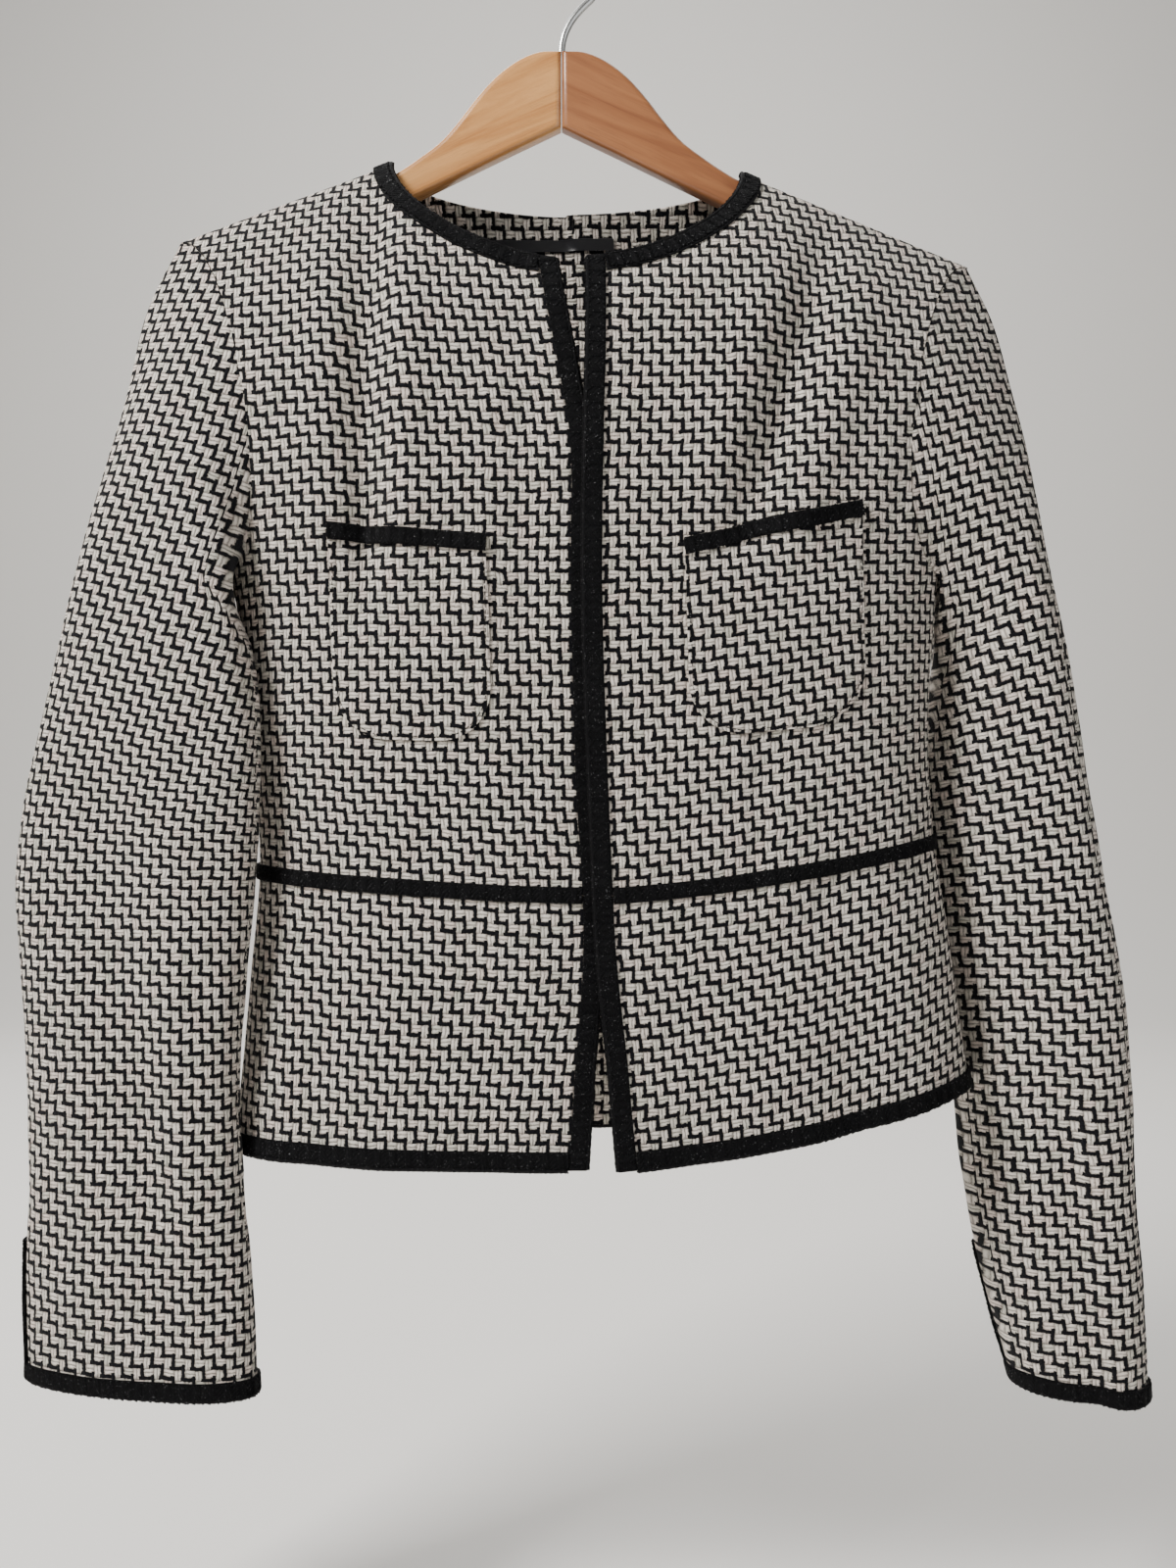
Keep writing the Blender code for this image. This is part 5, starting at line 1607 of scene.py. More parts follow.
@dataclass(frozen=True)
class ZigzagCords:
    """The braid's cords: nested zigzags that run the length of a band."""

    width: float
    wavelength: float = 0.0076
    swing: float = 0.0066
    pitch: float = 0.00122
    radius: float = 0.00052
    sides: int = 4
    steps: int = 8

    def build(self, path: Path, name: str) -> bpy.types.Object:
        """Lay the cords along a path.

        Args:
            path: The band's middle line, at the height of the cords' centres.
            name: The new object's name.

        Returns:
            The cords as one mesh.
        """
        half = self.width / 2 - self.radius * 0.6
        cords = int(math.ceil((2 * half + self.swing) / self.pitch)) + 1
        tree = NodeTree("zigzag_cords", {
            "Cords": ("NodeSocketInt", cords),
            "Wavelength": ("NodeSocketFloat", self.wavelength),
            "Swing": ("NodeSocketFloat", self.swing),
            "Pitch": ("NodeSocketFloat", self.pitch),
            "Half Width": ("NodeSocketFloat", half),
            "Radius": ("NodeSocketFloat", self.radius),
            "Finish": ("NodeSocketMaterial", finish(Finish.BRAID)),
        })
        line = tree.out("GeometryNodeMeshToCurve", {"Mesh": tree.input("Geometry")})
        copies = tree.node("GeometryNodeDuplicateElements", {"domain": "SPLINE"}, {
            "Geometry": line, "Amount": tree.input("Cords")})
        number = Signal(tree, copies.outputs["Duplicate Index"])
        flat = tree.out("GeometryNodeCurveToMesh", {"Curve": copies.outputs["Geometry"]})
        turn = tree.attribute("along", "FLOAT") / tree.input("Wavelength") * (2 * math.pi)
        zigzag = tree.math("ARCSINE", tree.math("SINE", turn) * 0.985) / math.pi
        lane = (number - (tree.input("Cords") - 1.0) / 2.0) * tree.input("Pitch")
        place = lane + zigzag * tree.input("Swing")
        weave = tree.math("SINE", turn * 2.0 + number * math.pi)
        lift = weave * (tree.input("Radius") * 0.28)
        sideways, upwards = (
            tree.out("ShaderNodeVectorMath", {0: tree.attribute(name, "FLOAT_VECTOR"),
                                              "Scale": size}, {"operation": "SCALE"})
            for name, size in (("across", place), ("outward", lift)))
        moved = tree.out("GeometryNodeSetPosition", {
            "Geometry": flat, "Offset": tree.vector("ADD", sideways, upwards)})
        outside = tree.out("FunctionNodeCompare", {
            "A": abs(place), "B": tree.input("Half Width")},
            {"data_type": "FLOAT", "operation": "GREATER_THAN"})
        kept = tree.out("GeometryNodeDeleteGeometry", {
            "Geometry": moved, "Selection": outside}, {"domain": "POINT"})
        cord = tree.out("GeometryNodeMeshToCurve", {"Mesh": kept})
        circle = tree.out("GeometryNodeCurvePrimitiveCircle", {
            "Resolution": self.sides, "Radius": tree.input("Radius")}, {"mode": "RADIUS"})
        tube = tree.out("GeometryNodeCurveToMesh", {
            "Curve": cord, "Profile Curve": circle, "Fill Caps": True})
        tree.finished(tube)
        made = tree.applied(path.resampled(self.wavelength / self.steps).mesh(name + "_path"), name)
        made.data.shade_smooth()
        return made


@dataclass(frozen=True)
class Stitches:
    """A row of small sewn stitches along a path."""

    spacing: float = 0.0030
    length: float = 0.0021
    radius: float = 0.00028

    def build(self, path: Path, name: str, which: Finish) -> bpy.types.Object:
        """Sew the stitches along a path.

        Args:
            path: The seam's line on the cloth.
            name: The new object's name.
            which: The thread's finish.

        Returns:
            The stitches as one mesh.
        """
        tree = NodeTree("stitches", {
            "Spacing": ("NodeSocketFloat", self.spacing),
            "Length": ("NodeSocketFloat", self.length),
            "Radius": ("NodeSocketFloat", self.radius),
            "Seed": ("NodeSocketInt", 7),
            "Finish": ("NodeSocketMaterial", finish(which)),
        })
        line = tree.out("GeometryNodeMeshToCurve", {"Mesh": tree.input("Geometry")})
        curve = tree.node("GeometryNodeCurveToPoints", {"mode": "LENGTH"}, {
            "Curve": line, "Length": tree.input("Spacing")})
        thread = tree.out("GeometryNodeMeshCylinder", {
            "Vertices": 5, "Radius": tree.input("Radius"), "Depth": tree.input("Length")})
        turn = tree.out("FunctionNodeAlignRotationToVector", {
            "Vector": curve.outputs["Tangent"]}, {"axis": "Z"})
        size = tree.node("FunctionNodeRandomValue", {"data_type": "FLOAT"}, {
            2: 0.8, 3: 1.15, "Seed": tree.input("Seed")})
        copies = tree.out("GeometryNodeInstanceOnPoints", {
            "Points": curve.outputs["Points"], "Instance": thread, "Rotation": turn,
            "Scale": size.outputs[1]})
        tree.finished(copies)
        return tree.applied(path.resampled(0.002).mesh(name + "_path"), name)


def body_path(runs: Sequence[tuple[Array, Side | None, bool]]) -> Path:
    """A path through flat places on several pieces of the body.

    Args:
        runs: Flat places with their side, None for the back, and whether they are on the back.

    Returns:
        The path on the cloth.
    """
    points = [BodyForm.drape(flat, side, back) for flat, side, back in runs]
    outward = [BodyForm.normals(flat, side, back) for flat, side, back in runs]
    return Path(np.vstack(points), np.vstack(outward))


@dataclass
class Braid:
    """One length of braid: a ground strip with zigzag cords on it."""

    name: str
    sheets: list[Sheet]
    path: Path
    width: float = BRAID_WIDTH
    under: float = WALL / 2
    ground: float = 0.0008
    edges: list[Path] = field(default_factory=list)
    rim_width: float = 0.0036
    pieces: list[bpy.types.Object] = field(default_factory=list)

    def build(self) -> None:
        """Make the ground strips and the cords, and join them into one piece."""
        base = self.under + GAP
        for number, sheet in enumerate(self.sheets):
            strip = sheet.inset(0.0004).solid(f"{self.name}_ground_{number}", self.ground,
                                              base + self.ground / 2)
            self.pieces.append(strip)
        cords = ZigzagCords(self.width)
        height = base + self.ground + cords.radius * 0.35
        self.pieces.append(cords.build(self.path.raised(height), self.name + "_cords"))
        for edge in self.edges:
            rim = edge.rim(self.path)
            self.pieces.append(rim.swept(self.name + "_rim", self.rim_width / 2, self.ground))
            narrow = ZigzagCords(self.rim_width)
            self.pieces.append(narrow.build(rim.raised(self.ground), self.name + "_rim_cords"))
        for piece in self.pieces:
            piece.data.materials.clear()
            piece.data.materials.append(finish(Finish.BRAID))
        whole = join(self.pieces, self.name + "_look")
        keep(whole, Finish.BRAID, "braid", [self.name])


def join(pieces: Sequence[bpy.types.Object], name: str) -> bpy.types.Object:
    """Join plain meshes into one object.

    Args:
        pieces: The objects to join, removed afterwards.
        name: The new object's name.

    Returns:
        The joined object.
    """
    for piece in bpy.context.selected_objects:
        piece.select_set(False)
    for piece in pieces:
        piece.select_set(True)
    bpy.context.view_layer.objects.active = pieces[0]
    if len(pieces) > 1:
        bpy.ops.object.join()
    pieces[0].name = name
    pieces[0].data.name = name
    return pieces[0]


@dataclass
class BodyCloth:
    """The fronts, back and the pieces below the waist, with their braid, pockets and label."""

    fronts: dict[str, Sheet] = field(default_factory=dict)
    skirts: dict[str, Sheet] = field(default_factory=dict)
    back: Sheet | None = None
    back_skirt: Sheet | None = None

    def build(self) -> None:
        """Cut and drape the cloth."""
        for side in SIDES:
            self.fronts[side.name] = Sheet.draped(Patterns.front(side), side, False)
            self.skirts[side.name] = Sheet.draped(Patterns.skirt(side, False), side, False)
        self.back = Sheet.draped(Patterns.back(), None, True)
        self.back_skirt = Sheet.draped(Patterns.skirt(None, True), None, True)

    def dress(self) -> None:
        """Give every panel its wall and finish, then add what lies on it."""
        for side in SIDES:
            self.panel(self.fronts[side.name], side.name + "_front")
            self.panel(self.skirts[side.name], side.name + "_front_skirt")
            Pocket(side, self.fronts[side.name]).build()
        self.panel(self.back, "back")
        self.panel(self.back_skirt, "back_skirt")
        self.label()
        self.edge_braids()
        self.ring_braids()

    @staticmethod
    def panel(sheet: Sheet, node: str) -> None:
        piece = keep(sheet.solid(node + "_cloth", WALL), Finish.TWEED, "tweed", [node])
        declare(sheet)

    def label(self) -> None:
        """Make the satin tape inside the back of the neck."""
        strip = self.back.part(lambda across, drop: (across > LABEL["from"])
                               & (across < LABEL["to"]) & (drop > LABEL["top"])
                               & (drop < LABEL["bottom"]))
        strip = strip.inset(SEAM_INSET)
        piece = strip.solid("neck_tape", SATIN, -(WALL / 2 + GAP + SATIN / 2))
        keep(piece, Finish.SATIN, "satin", ["neck_label"])

    def edge_braids(self) -> None:
        """Lay the braid down each front's free edge."""
        for side in SIDES:
            def near(across: Array, drop: Array, side: Side = side) -> Array:
                """Whether places are under the edge braid."""
                return across < BodyForm.edge_at(drop, side) + BRAID_WIDTH

            drops = np.linspace(NECK_FRONT + 0.0006, HEM - 0.0006, 160)
            flat = columns(BodyForm.edge_at(drops, side) + BRAID_WIDTH / 2, drops)
            sheets = [self.fronts[side.name].part(near), self.skirts[side.name].part(near)]
            outer = columns(BodyForm.edge_at(drops, side), drops)
            Braid(side.name + "_edge_braid", sheets, body_path([(flat, side, False)]),
                  edges=[body_path([(outer, side, False)])]).build()

    def ring_braids(self) -> None:
        """Lay the braid round the neck, waist and hem."""
        def on_waist(across: Array, drop: Array) -> Array:
            """Whether places are under the waist braid."""
            return np.abs(drop - WAIST) < WAIST_BRAID_WIDTH / 2

        def on_hem(across: Array, drop: Array) -> Array:
            """Whether places are under the hem braid."""
            return drop > HEM - BRAID_WIDTH

        neck = [self.back.part(self.neck_test(NECK_BACK, None))]
        waist = [self.back.part(on_waist), self.back_skirt.part(on_waist)]
        hem = [self.back_skirt.part(on_hem)]
        for side in SIDES:
            def clear(across: Array, drop: Array, side: Side = side) -> Array:
                """Whether places are clear of the edge braid."""
                return across > BodyForm.edge_at(drop, side) + BRAID_WIDTH

            body = self.fronts[side.name].part(clear)
            tail = self.skirts[side.name].part(clear)
            neck.append(body.part(self.neck_test(NECK_FRONT, side)))
            waist += [body.part(on_waist), tail.part(on_waist)]
            hem.append(tail.part(on_hem))
        half = BRAID_WIDTH / 2
        fronts = [body_path([(self.front_neck(side, 0.0), side, False)]) for side in SIDES]
        for name, sheets, path, width, edges in (
                ("neck_braid", neck, self.neck_path(half), BRAID_WIDTH, fronts),
                ("waist_braid", waist, self.level_path(WAIST), WAIST_BRAID_WIDTH, []),
                ("hem_braid", hem, self.level_path(HEM - half), BRAID_WIDTH,
                 [self.level_path(HEM)])):
            Braid(name, sheets, path, width, edges=edges).build()

    @staticmethod
    def neck_test(bottom: float, side: Side | None) -> Test:
        """A test for places under the neck braid."""
        def wanted(across: Array, drop: Array) -> Array:
            """Whether places are under the neck braid."""
            result = np.zeros(len(across), bool)
            wide_row, _, lengths = BodyForm.section(drop, side is None)
            x = read_rows(np.abs(across), lengths, wide_row)
            for half in SIDES if side is None else (side,):
                own = across * half.sign >= 0 if side is None else np.ones(len(across), bool)
                wide = half.neck_x + BRAID_WIDTH
                top = BodyForm.shoulder_drop(wide, half)
                low = bottom + BRAID_WIDTH
                share = np.clip(x / wide, 0, 1)
                line = top + (low - top) * (1 - share ** NECK_ROUND) ** (1 / NECK_ROUND)
                result |= own & (x < wide) & (drop < line)
            return result
        return wanted

    @staticmethod
    def front_neck(side: Side, widen: float) -> Array:
        """Flat places round a front's neck, from the shoulder in to the edge braid."""
        start = float(BodyForm.edge_at(NECK_FRONT, side)) + BRAID_WIDTH + 0.0002
        x, drop = Patterns.neck_line(side, NECK_FRONT, widen, start, 90)
        return columns(BodyForm.across_of(x, drop), drop)

    @classmethod
    def neck_path(cls, widen: float) -> Path:
        """A path round the neck, a distance in from its edge, from right to left."""
        runs: list[tuple[Array, Side | None, bool]] = []
        for side in SIDES:
            front = cls.front_neck(side, widen)
            x, drop = Patterns.neck_line(side, NECK_BACK, widen, 0.0, 90)
            back = columns(BodyForm.across_of(x, drop, True) * side.sign, drop)
            if side is RIGHT:
                runs += [(front[::-1], side, False), (back, None, True)]
            else:
                runs += [(back[::-1], None, True), (front, side, False)]
        return body_path(runs)

    @staticmethod
    def level_path(drop: float) -> Path:
        """A level path round the body, from the right front's edge round to the left's."""
        front_seam = float(BodyForm.side_across(drop)[0])
        back_seam = float(BodyForm.side_across(drop, True)[0])
        start = [float(BodyForm.edge_at(drop, side)) + BRAID_WIDTH for side in SIDES]
        runs = [
            (columns(np.linspace(start[0], front_seam, 200), drop), RIGHT, False),
            (columns(np.linspace(-back_seam, back_seam, 400), drop), None, True),
            (columns(np.linspace(front_seam, start[1], 200), drop), LEFT, False),
        ]
        return body_path(runs)


def declare(sheet: Sheet) -> None:
    """Work out the size of the cut sheet a piece came from; the result is not kept."""
    sheet.flat_size()


@dataclass
class Pocket:
    """A patch pocket with braid along its top and stitches round its edge."""

    side: Side
    front: Sheet
    soft_width: float = 0.0045
    soft_depth: float = 0.0004
    stitch_inset: float = 0.0022
    stitch_sink: float = 0.0003

    def build(self) -> None:
        """Make and dress the pocket."""
        outline = Patterns.pocket(self.side)[0]
        size = POCKETS[self.side.name]

        def in_pocket(across: Array, drop: Array) -> Array:
            """Whether places are inside the pocket."""
            return inside(columns(across, drop), outline[:-1])

        def in_band(across: Array, drop: Array) -> Array:
            """Whether places are under the pocket's braid."""
            return drop < Patterns.pocket_top(size, across) + POCKET_BRAID_HEIGHT

        patch = self.front.part(in_pocket)
        rim = distances(patch.flat, outline)
        top = size["inner_drop"] + POCKET_BRAID_HEIGHT
        soft = np.where(patch.flat[:, 1] > top, 1 - smooth(rim / self.soft_width), 0.0)
        out = WALL / 2 + GAP + POCKET_WALL / 2 - soft * self.soft_depth
        which = Finish.RIGHT_POCKET if self.side is RIGHT else Finish.LEFT_POCKET
        name = self.side.name + "_pocket"
        cloth = patch.inset(SEAM_INSET)
        piece = keep(cloth.solid(name + "_cloth", POCKET_WALL, out), which, "tweed", [name])
        declare(patch)
        self.stitch(outline, size)
        self.edge(patch.part(in_band), size)

    def stitch(self, outline: Array, size: dict[str, float]) -> None:
        """Sew round the pocket's sides and bottom, just inside its edge."""
        low = outline[outline[:, 1] > size["inner_drop"] + POCKET_BRAID_HEIGHT + 0.001]
        centre = np.array([(size["inner"] + size["outer"]) / 2, low[:, 1].mean()])
        way = centre - low
        line = low + way / np.linalg.norm(way, axis=1)[:, None] * self.stitch_inset
        path = body_path([(line, self.side, False)])
        name = self.side.name + "_pocket_stitches"
        height = WALL / 2 + GAP + POCKET_WALL - self.stitch_sink
        stitches = Stitches().build(path.raised(height), name, Finish.BRAID)
        keep(stitches, Finish.BRAID, "braid")

    def edge(self, sheet: Sheet, size: dict[str, float]) -> None:
        """Lay the braid along the pocket's top."""
        across = np.linspace(size["inner"], size["outer"], 60)
        flat = columns(across, Patterns.pocket_top(size, across) + POCKET_BRAID_HEIGHT / 2)
        Braid(self.side.name + "_pocket_braid", [sheet],
              body_path([(flat, self.side, False)]), BRAID_WIDTH,
              WALL / 2 + GAP + POCKET_WALL).build()


@dataclass
class Sleeve:
    """A sleeve rolled from a sheet, with braid round its cuff and up its vent."""

    side: Side
    around: int = 84
    spacing: float = SPACING

    def build(self) -> None:
        """Make and dress the sleeve and its braid."""
        form = SleeveForm(self.side)
        sheet = self.sheet(form)
        name = self.side.name + "_sleeve"
        piece = keep(sheet.solid(name + "_cloth", WALL), Finish.TWEED, "tweed", [name])
        declare(sheet)
        self.braids(form, sheet)

    def rows(self, form: SleeveForm) -> Array:
        """Shares of the sleeve's length at its rows, with rows at the vent and the braid."""
        vent = 1 - VENT / form.length
        band = 1 - BRAID_WIDTH / form.length
        step = self.spacing / form.length
        top = np.linspace(0, vent, int(round(vent / step)) + 1)[:-1]
        low = np.linspace(vent, band, int(round((band - vent) / step)) + 1)[:-1]
        return np.concatenate([top, low, np.linspace(band, 1, 4)])

    def turns(self, form: SleeveForm, shares: Array) -> Array:
        """Turns of each row's points, from one side of the seam round to the other."""
        outer, inner, _ = form.ends(shares)
        girth = 2.3 * np.linalg.norm(outer - inner, axis=1)
        open_by = np.where(shares > 1 - VENT / form.length + 1e-6, VENT_GAP, GAP + WALL * 0.2)
        half = (open_by / girth * math.pi)[:, None]
        part = np.linspace(0, 1, self.around + 1)
        return form.seam(shares)[:, None] + half + part * (2 * math.pi - 2 * half)

    def sheet(self, form: SleeveForm) -> Sheet:
        """Roll the sleeve's sheet and work out its weave coordinates.

        Args:
            form: The sleeve's form.

        Returns:
            The sheet, whose flat places are the share round and the share down.
        """
        shares = self.rows(form)
        turns = self.turns(form, shares)
        grid = np.broadcast_to(shares[:, None], turns.shape)
        points = form.points(turns.ravel(), grid.ravel())
        normals = form.normals(turns.ravel(), grid.ravel())
        wide = self.around + 1
        corner = (np.arange(len(shares) - 1)[:, None] * wide + np.arange(self.around)).ravel()
        faces = np.vstack([np.stack([corner, corner + 1, corner + wide + 1], axis=1),
                           np.stack([corner, corner + wide + 1, corner + wide], axis=1)])
        flat = np.stack([np.broadcast_to(np.linspace(0, 1, wide), turns.shape).ravel(),
                         grid.ravel()], axis=1)
        weave, behind = self.weave(form, points, turns.ravel(), shares)
        back = np.mod(turns.ravel(), 2 * math.pi) > math.pi
        return Sheet(flat, points, normals, faces, weave, back, behind).faced()

    def weave(self, form: SleeveForm, points: Array, turns: Array,
              shares: Array) -> tuple[Array, Array]:
        """Places on the cut sleeve, with the yarns along and across its length.

        Args:
            form: The sleeve's form.
            points: Its points.
            turns: Their turns round the ring.
            shares: The rings' shares of the length.

        Returns:
            Across and down for each point as on the front, and as on the back.
        """
        outer, inner, _ = form.ends(shares)
        across, down = self.unrolled(points)
        edges = []
        for end in (outer, inner):
            side, depth = self.unrolled(end)
            order = np.argsort(depth)
            edges.append(np.interp(down, depth[order], side[order]))
        half = np.maximum(np.abs(edges[0] - edges[1]) / 2, 0.02)
        middle = (edges[0] + edges[1]) / 2
        arc = np.linspace(0, math.pi / 2, 200)
        wide, deep = np.sin(arc) ** (2 / RING_POWER), 0.4 * np.cos(arc) ** (2 / RING_POWER)
        lengths = np.concatenate([[0], np.cumsum(np.hypot(np.diff(wide), np.diff(deep)))])
        place = np.clip((across - middle) / half, -1, 1)
        extra = (np.interp(np.abs(place), wide, lengths) - np.abs(place)) * np.sign(place) * half
        front = across + extra
        end = edges[0] + (lengths[-1] - 1) * half * np.sign(edges[0] - middle)
        return (np.stack([front, down], axis=1), np.stack([2 * end - front, down], axis=1))

    def unrolled(self, points: Array) -> tuple[Array, Array]:
        """Distance across and along the sleeve's own bent middle line, seen from the front."""
        upper, lower = SLEEVE_LEAN[self.side.name]
        known = np.linspace(-0.1, 0.9, 501)
        lean = upper + (lower - upper) * smooth((known - 0.20) / 0.18)
        ways = np.stack([np.sin(lean) * self.side.sign, -np.cos(lean)], axis=1)
        line = np.vstack([[0, 0], np.cumsum((ways[1:] + ways[:-1]) / 2 * 0.002, axis=0)])
        line += np.array([self.side.tip_x * self.side.sign, -self.side.tip_drop]) - line[50]
        flat = points[:, [0, 2]]
        along = -flat[:, 1] - self.side.tip_drop
        for _ in range(6):
            at, way = between(along, known, line), between(along, known, ways)
            along = along + ((flat - at) * way).sum(1)
        across = (flat - at)[:, 0] * -way[:, 1] + (flat - at)[:, 1] * way[:, 0]
        return across, along

    def braids(self, form: SleeveForm, sheet: Sheet) -> None:
        """Lay the braid round the cuff and up the vent's outer edge."""
        band = 1 - BRAID_WIDTH / form.length
        vent = 1 - VENT / form.length
        first = self.side is RIGHT
        outer, inner, _ = form.ends(np.array([1.0]))
        girth = float(2.25 * np.linalg.norm(outer - inner) + 0.03)
        share = BRAID_WIDTH / girth
        limit = math.ceil(share * self.around) / self.around

        def on_vent(place: Array, row: Array) -> Array:
            """Whether places are under the vent's braid."""
            return ((place < limit) if first else (place > 1 - limit)) & (row > vent)

        def on_cuff(place: Array, row: Array) -> Array:
            """Whether places are under the cuff's braid."""
            return (row > band) & ~on_vent(place, row)

        start, end = (limit, 1.0) if first else (0.0, 1 - limit)
        place = np.linspace(start, end, 260)
        level = np.full(len(place), 1 - BRAID_WIDTH / 2 / form.length)
        self.lay(form, self.side.name + "_cuff_braid", sheet.part(on_cuff),
                 (place, level), (place, np.ones(len(place))))
        rows = np.linspace(vent, 1.0, 60)
        column = np.full(len(rows), limit / 2 if first else 1 - limit / 2)
        self.lay(form, self.side.name + "_vent_braid", sheet.part(on_vent),
                 (column, rows), (np.full(len(rows), 0.0 if first else 1.0), rows))

    def lay(self, form: SleeveForm, name: str, sheet: Sheet, middle: tuple[Array, Array],
            edge: tuple[Array, Array]) -> None:
        """Lay one length of braid on the sleeve.

        Args:
            form: The sleeve's form.
            name: The braid's CAD node.
            sheet: The cloth under it.
            middle: Shares round the sleeve and down it along the braid's middle.
            edge: The same along the cloth's free edge.
        """
        paths = []
        for place, rows in (middle, edge):
            grid = self.turns(form, rows)
            known = np.linspace(0, 1, self.around + 1)
            turns = np.array([np.interp(at, known, row) for at, row in zip(place, grid)])
            paths.append(Path(form.points(turns, rows), form.normals(turns, rows)))
        Braid(name, [sheet], paths[0], edges=paths[1:]).build()


@dataclass
class Hanger:
    """The wooden arms and the wire hook."""

    thick: float = 0.011
    edge: float = 0.003
    reach: float = 0.188
    wire: float = 0.002
    hook_radius: float = 0.021
    stem: float = 0.0617
    stem_rise: float = 0.012
    swing: float = 0.010
    hook_start: float = -48.0
    hook_end: float = 205.0

    def build(self) -> None:
        """Make and dress the arms and the hook."""
        # Painted light: the right arm takes the lit copy of the wood and the left arm the shaded
        # copy
        self.arm("hanger_right_arm", Finish.PAINTED_LIT_WOOD, "light_wood", -1)
        self.arm("hanger_left_arm", Finish.PAINTED_SHADED_WOOD, "dark_wood", 1)
        self.hook()

    def arm(self, node: str, which: Finish, slot: str, sign: int) -> None:
        """Make one arm from its outline, extruded and rounded along its edges.

        Args:
            node: The CAD node it stands for.
            which: The wood's finish.
            slot: The record's slot.
            sign: -1 for the right arm and 1 for the left.
        """
        reach = run(0.0002, self.reach, 0.003)
        top = read(reach, HANGER["reach"], HANGER["top"])
        bottom = read(reach, HANGER["reach"], HANGER["bottom"])
        middle = (top[-1] + bottom[-1]) / 2
        radius = (bottom[-1] - top[-1]) / 2
        turns = np.linspace(0, math.pi, 17)[1:-1]
        tip = columns(reach[-1] + radius * np.sin(turns), middle - radius * np.cos(turns))
        outline = np.vstack([columns(reach, top), tip, columns(reach, bottom)[::-1]])
        curve = bpy.data.curves.new(node, "CURVE")
        curve.dimensions = "2D"
        curve.fill_mode = "BOTH"
        curve.extrude = self.thick / 2 - self.edge
        curve.bevel_depth = self.edge
        curve.bevel_resolution = 4
        curve.offset = -self.edge
        spline = curve.splines.new("POLY")
        spline.points.add(len(outline) - 1)
        for point, (x, drop) in zip(spline.points, outline):
            point.co = (sign * x, -drop, 0, 1)
        spline.use_cyclic_u = True
        self.plain(curve, node, which, slot, math.pi / 2)

    def hook(self) -> None:
        """Make the hook: a stem that swings out, round over the rail and down."""
        centre_z = self.wire - self.hook_radius
        start = math.radians(self.hook_start)
        meet = (self.hook_radius * math.cos(start), centre_z + self.hook_radius * math.sin(start))
        foot = -self.stem
        lean = (meet[0] + self.swing * math.sin(start), meet[1] - self.swing * math.cos(start))
        knots = ((0.0, foot), (0.0, foot + self.stem_rise), lean, meet)
        route = []
        for share in np.linspace(0, 1, 25)[:-1]:
            rest = 1 - share
            weights = (rest ** 3, 3 * rest * rest * share, 3 * rest * share * share, share ** 3)
            route.append(tuple(sum(w * knot[i] for w, knot in zip(weights, knots))
                               for i in (0, 1)))
        for turn in np.linspace(start, math.radians(self.hook_end), 80):
            route.append((self.hook_radius * math.cos(turn),
                          centre_z + self.hook_radius * math.sin(turn)))
        curve = bpy.data.curves.new("hanger_hook", "CURVE")
        curve.dimensions = "3D"
        curve.bevel_depth = self.wire
        curve.bevel_resolution = 5
        curve.use_fill_caps = True
        spline = curve.splines.new("POLY")
        spline.points.add(len(route) - 1)
        for point, (x, z) in zip(spline.points, route):
            point.co = (x, 0, z, 1)
        self.plain(curve, "hanger_hook", Finish.STEEL, "steel", 0.0)

    @staticmethod
    def plain(curve: bpy.types.Curve, node: str, which: Finish, slot: str, tilt: float) -> None:
        """Turn a curve into a plain mesh in place and dress it."""
        source = placed(node + "_curve", curve)
        source.rotation_euler = (tilt, 0, 0)
        bpy.context.view_layer.update()
        graph = bpy.context.evaluated_depsgraph_get()
        mesh = bpy.data.meshes.new_from_object(source.evaluated_get(graph), depsgraph=graph)
        mesh.transform(source.matrix_world)
        mesh.shade_smooth()
        mesh.set_sharp_from_angle(angle=HANGER_SHARP)
        bpy.data.objects.remove(source)
        keep(placed(node + "_look", mesh), which, slot, [node])


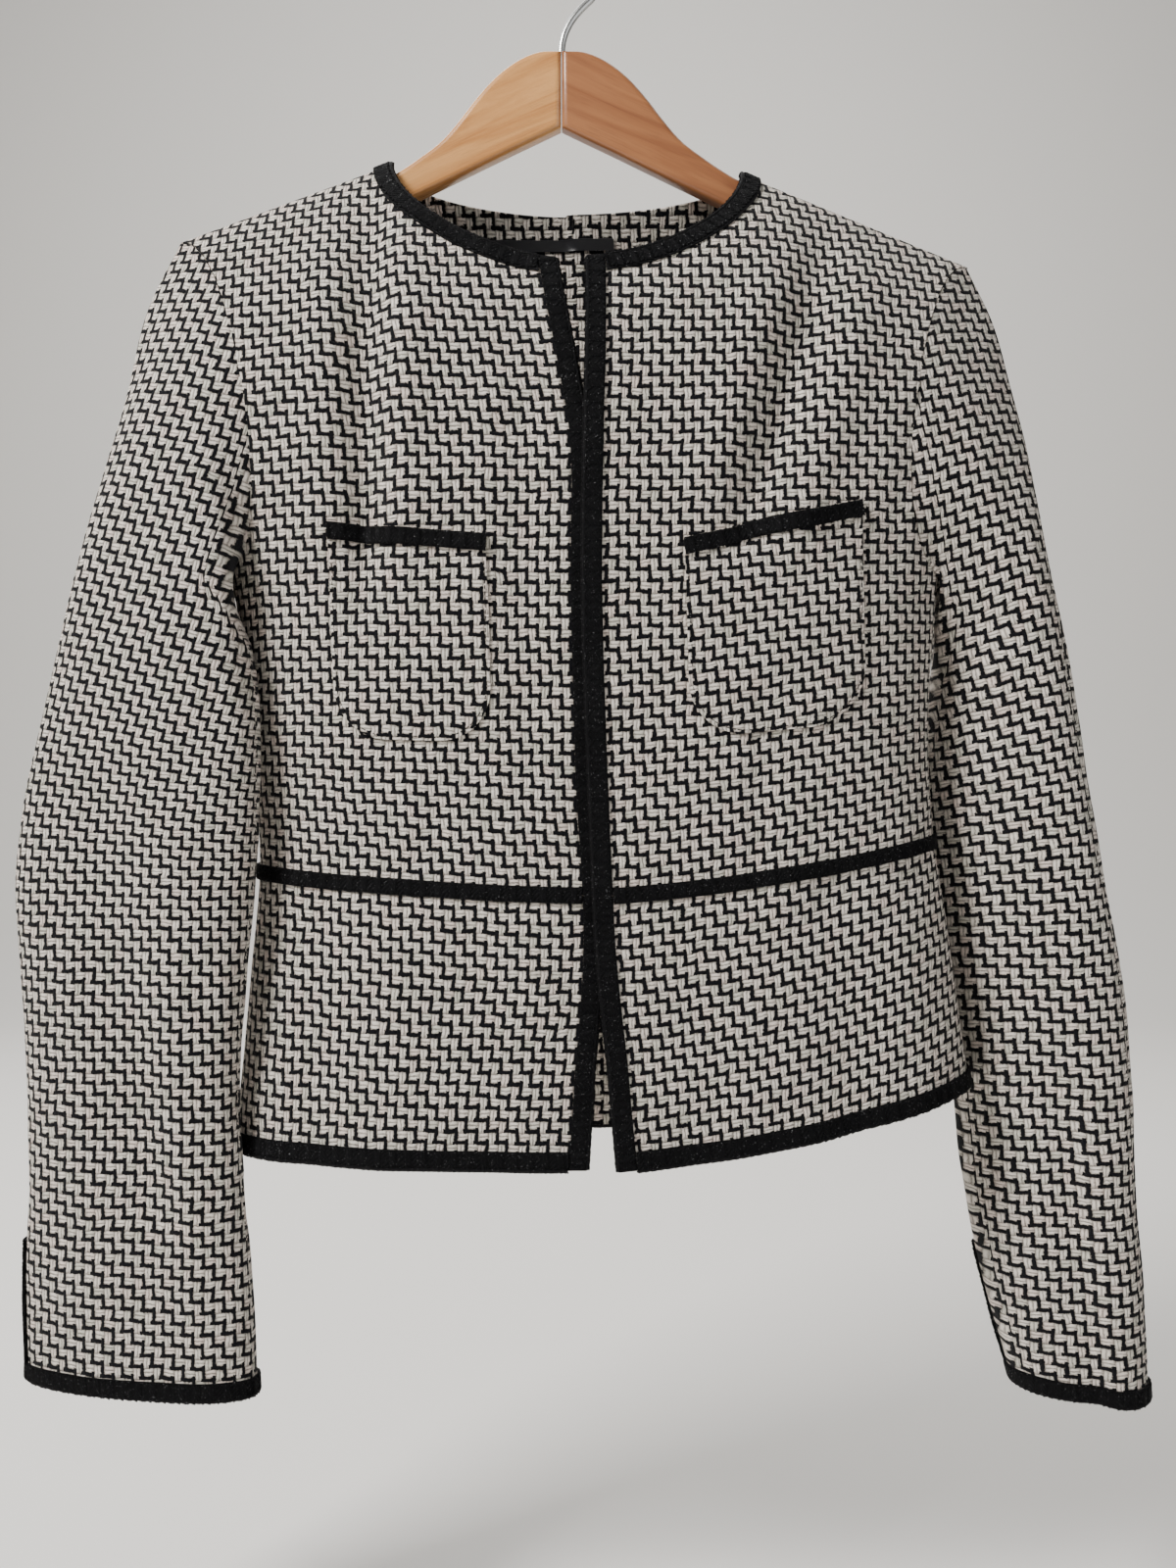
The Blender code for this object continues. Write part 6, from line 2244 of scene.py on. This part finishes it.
@dataclass
class Studio:
    """The floor with its sweep, the lights and the camera."""

    distance: float = 0.80
    half_angle: float = 27.7
    floor_z: float = -0.93
    floor_side: float = 6.0
    floor_front: float = -5.0
    sweep_start: float = 2.2
    sweep_radius: float = 1.2
    sweep_top: float = 4.0

    def build(self) -> None:
        """Set up the studio."""
        self.floor()
        self.light("key", (-1.20, -1.0, 0.85), 0.6, 66.0, (1.0, 0.985, 0.96))
        self.light("fill", (1.4, -1.2, -0.2), 1.6, 9.0, (0.96, 0.98, 1.0))
        self.light("back", (-0.6, 1.5, 0.9), 1.6, 18.0, (1.0, 1.0, 1.0))
        self.light("sweep", (0.0, 0.9, 1.5), 2.0, 60.0, (1.0, 0.99, 0.97), (0.0, 3.4, -0.3))
        world = bpy.data.worlds.new("studio")
        world.use_nodes = True
        ground = world.node_tree.nodes["Background"]
        ground.inputs["Color"].default_value = (0.93, 0.92, 0.90, 1.0)
        ground.inputs["Strength"].default_value = 0.22
        bpy.context.scene.world = world
        self.camera()

    def floor(self) -> None:
        """Make the floor, which sweeps up far behind the jacket."""
        start, radius = self.sweep_start, self.sweep_radius
        profile = [(self.floor_front, self.floor_z), (start, self.floor_z)]
        profile += [(start + radius * math.sin(turn),
                     self.floor_z + radius - radius * math.cos(turn))
                    for turn in np.linspace(0, math.pi / 2, 17)[1:]]
        profile.append((start + radius, self.sweep_top))
        points = [(side * self.floor_side, y, z) for side in (-1, 1) for y, z in profile]
        count = len(profile)
        faces = [(i, i + count, i + count + 1, i + 1) for i in range(count - 1)]
        piece = mesh_object("floor", np.array(points), faces)
        piece.data.materials.append(finish(Finish.PAPER))

    def light(self, name: str, place: tuple[float, float, float], size: float, power: float,
              colour: Colour, aim: tuple[float, float, float] = MIDDLE) -> None:
        """Make a soft square light that faces a place, the jacket's middle unless given."""
        lamp = bpy.data.lights.new(name, "AREA")
        lamp.size = size
        lamp.energy = power
        lamp.color = colour
        made = placed(name, lamp)
        made.location = place
        way = Vector(aim) - Vector(place)
        made.rotation_euler = way.to_track_quat("-Z", "Y").to_euler()

    def camera(self) -> None:
        """Set the camera level in front of the jacket."""
        lens = bpy.data.cameras.new("camera")
        lens.sensor_width = 36.0
        lens.lens = 18.0 / math.tan(math.radians(self.half_angle))
        made = placed("camera", lens)
        made.location = (MIDDLE[0], -self.distance, MIDDLE[2])
        made.rotation_euler = (math.pi / 2, 0, 0)
        bpy.context.scene.camera = made


def main() -> None:
    """Build the jacket, its hanger and the studio."""
    Studio().build()
    Hanger().build()
    cloth = BodyCloth()
    cloth.build()
    cloth.dress()
    for side in SIDES:
        Sleeve(side).build()


if __name__ == "__main__":
    main()
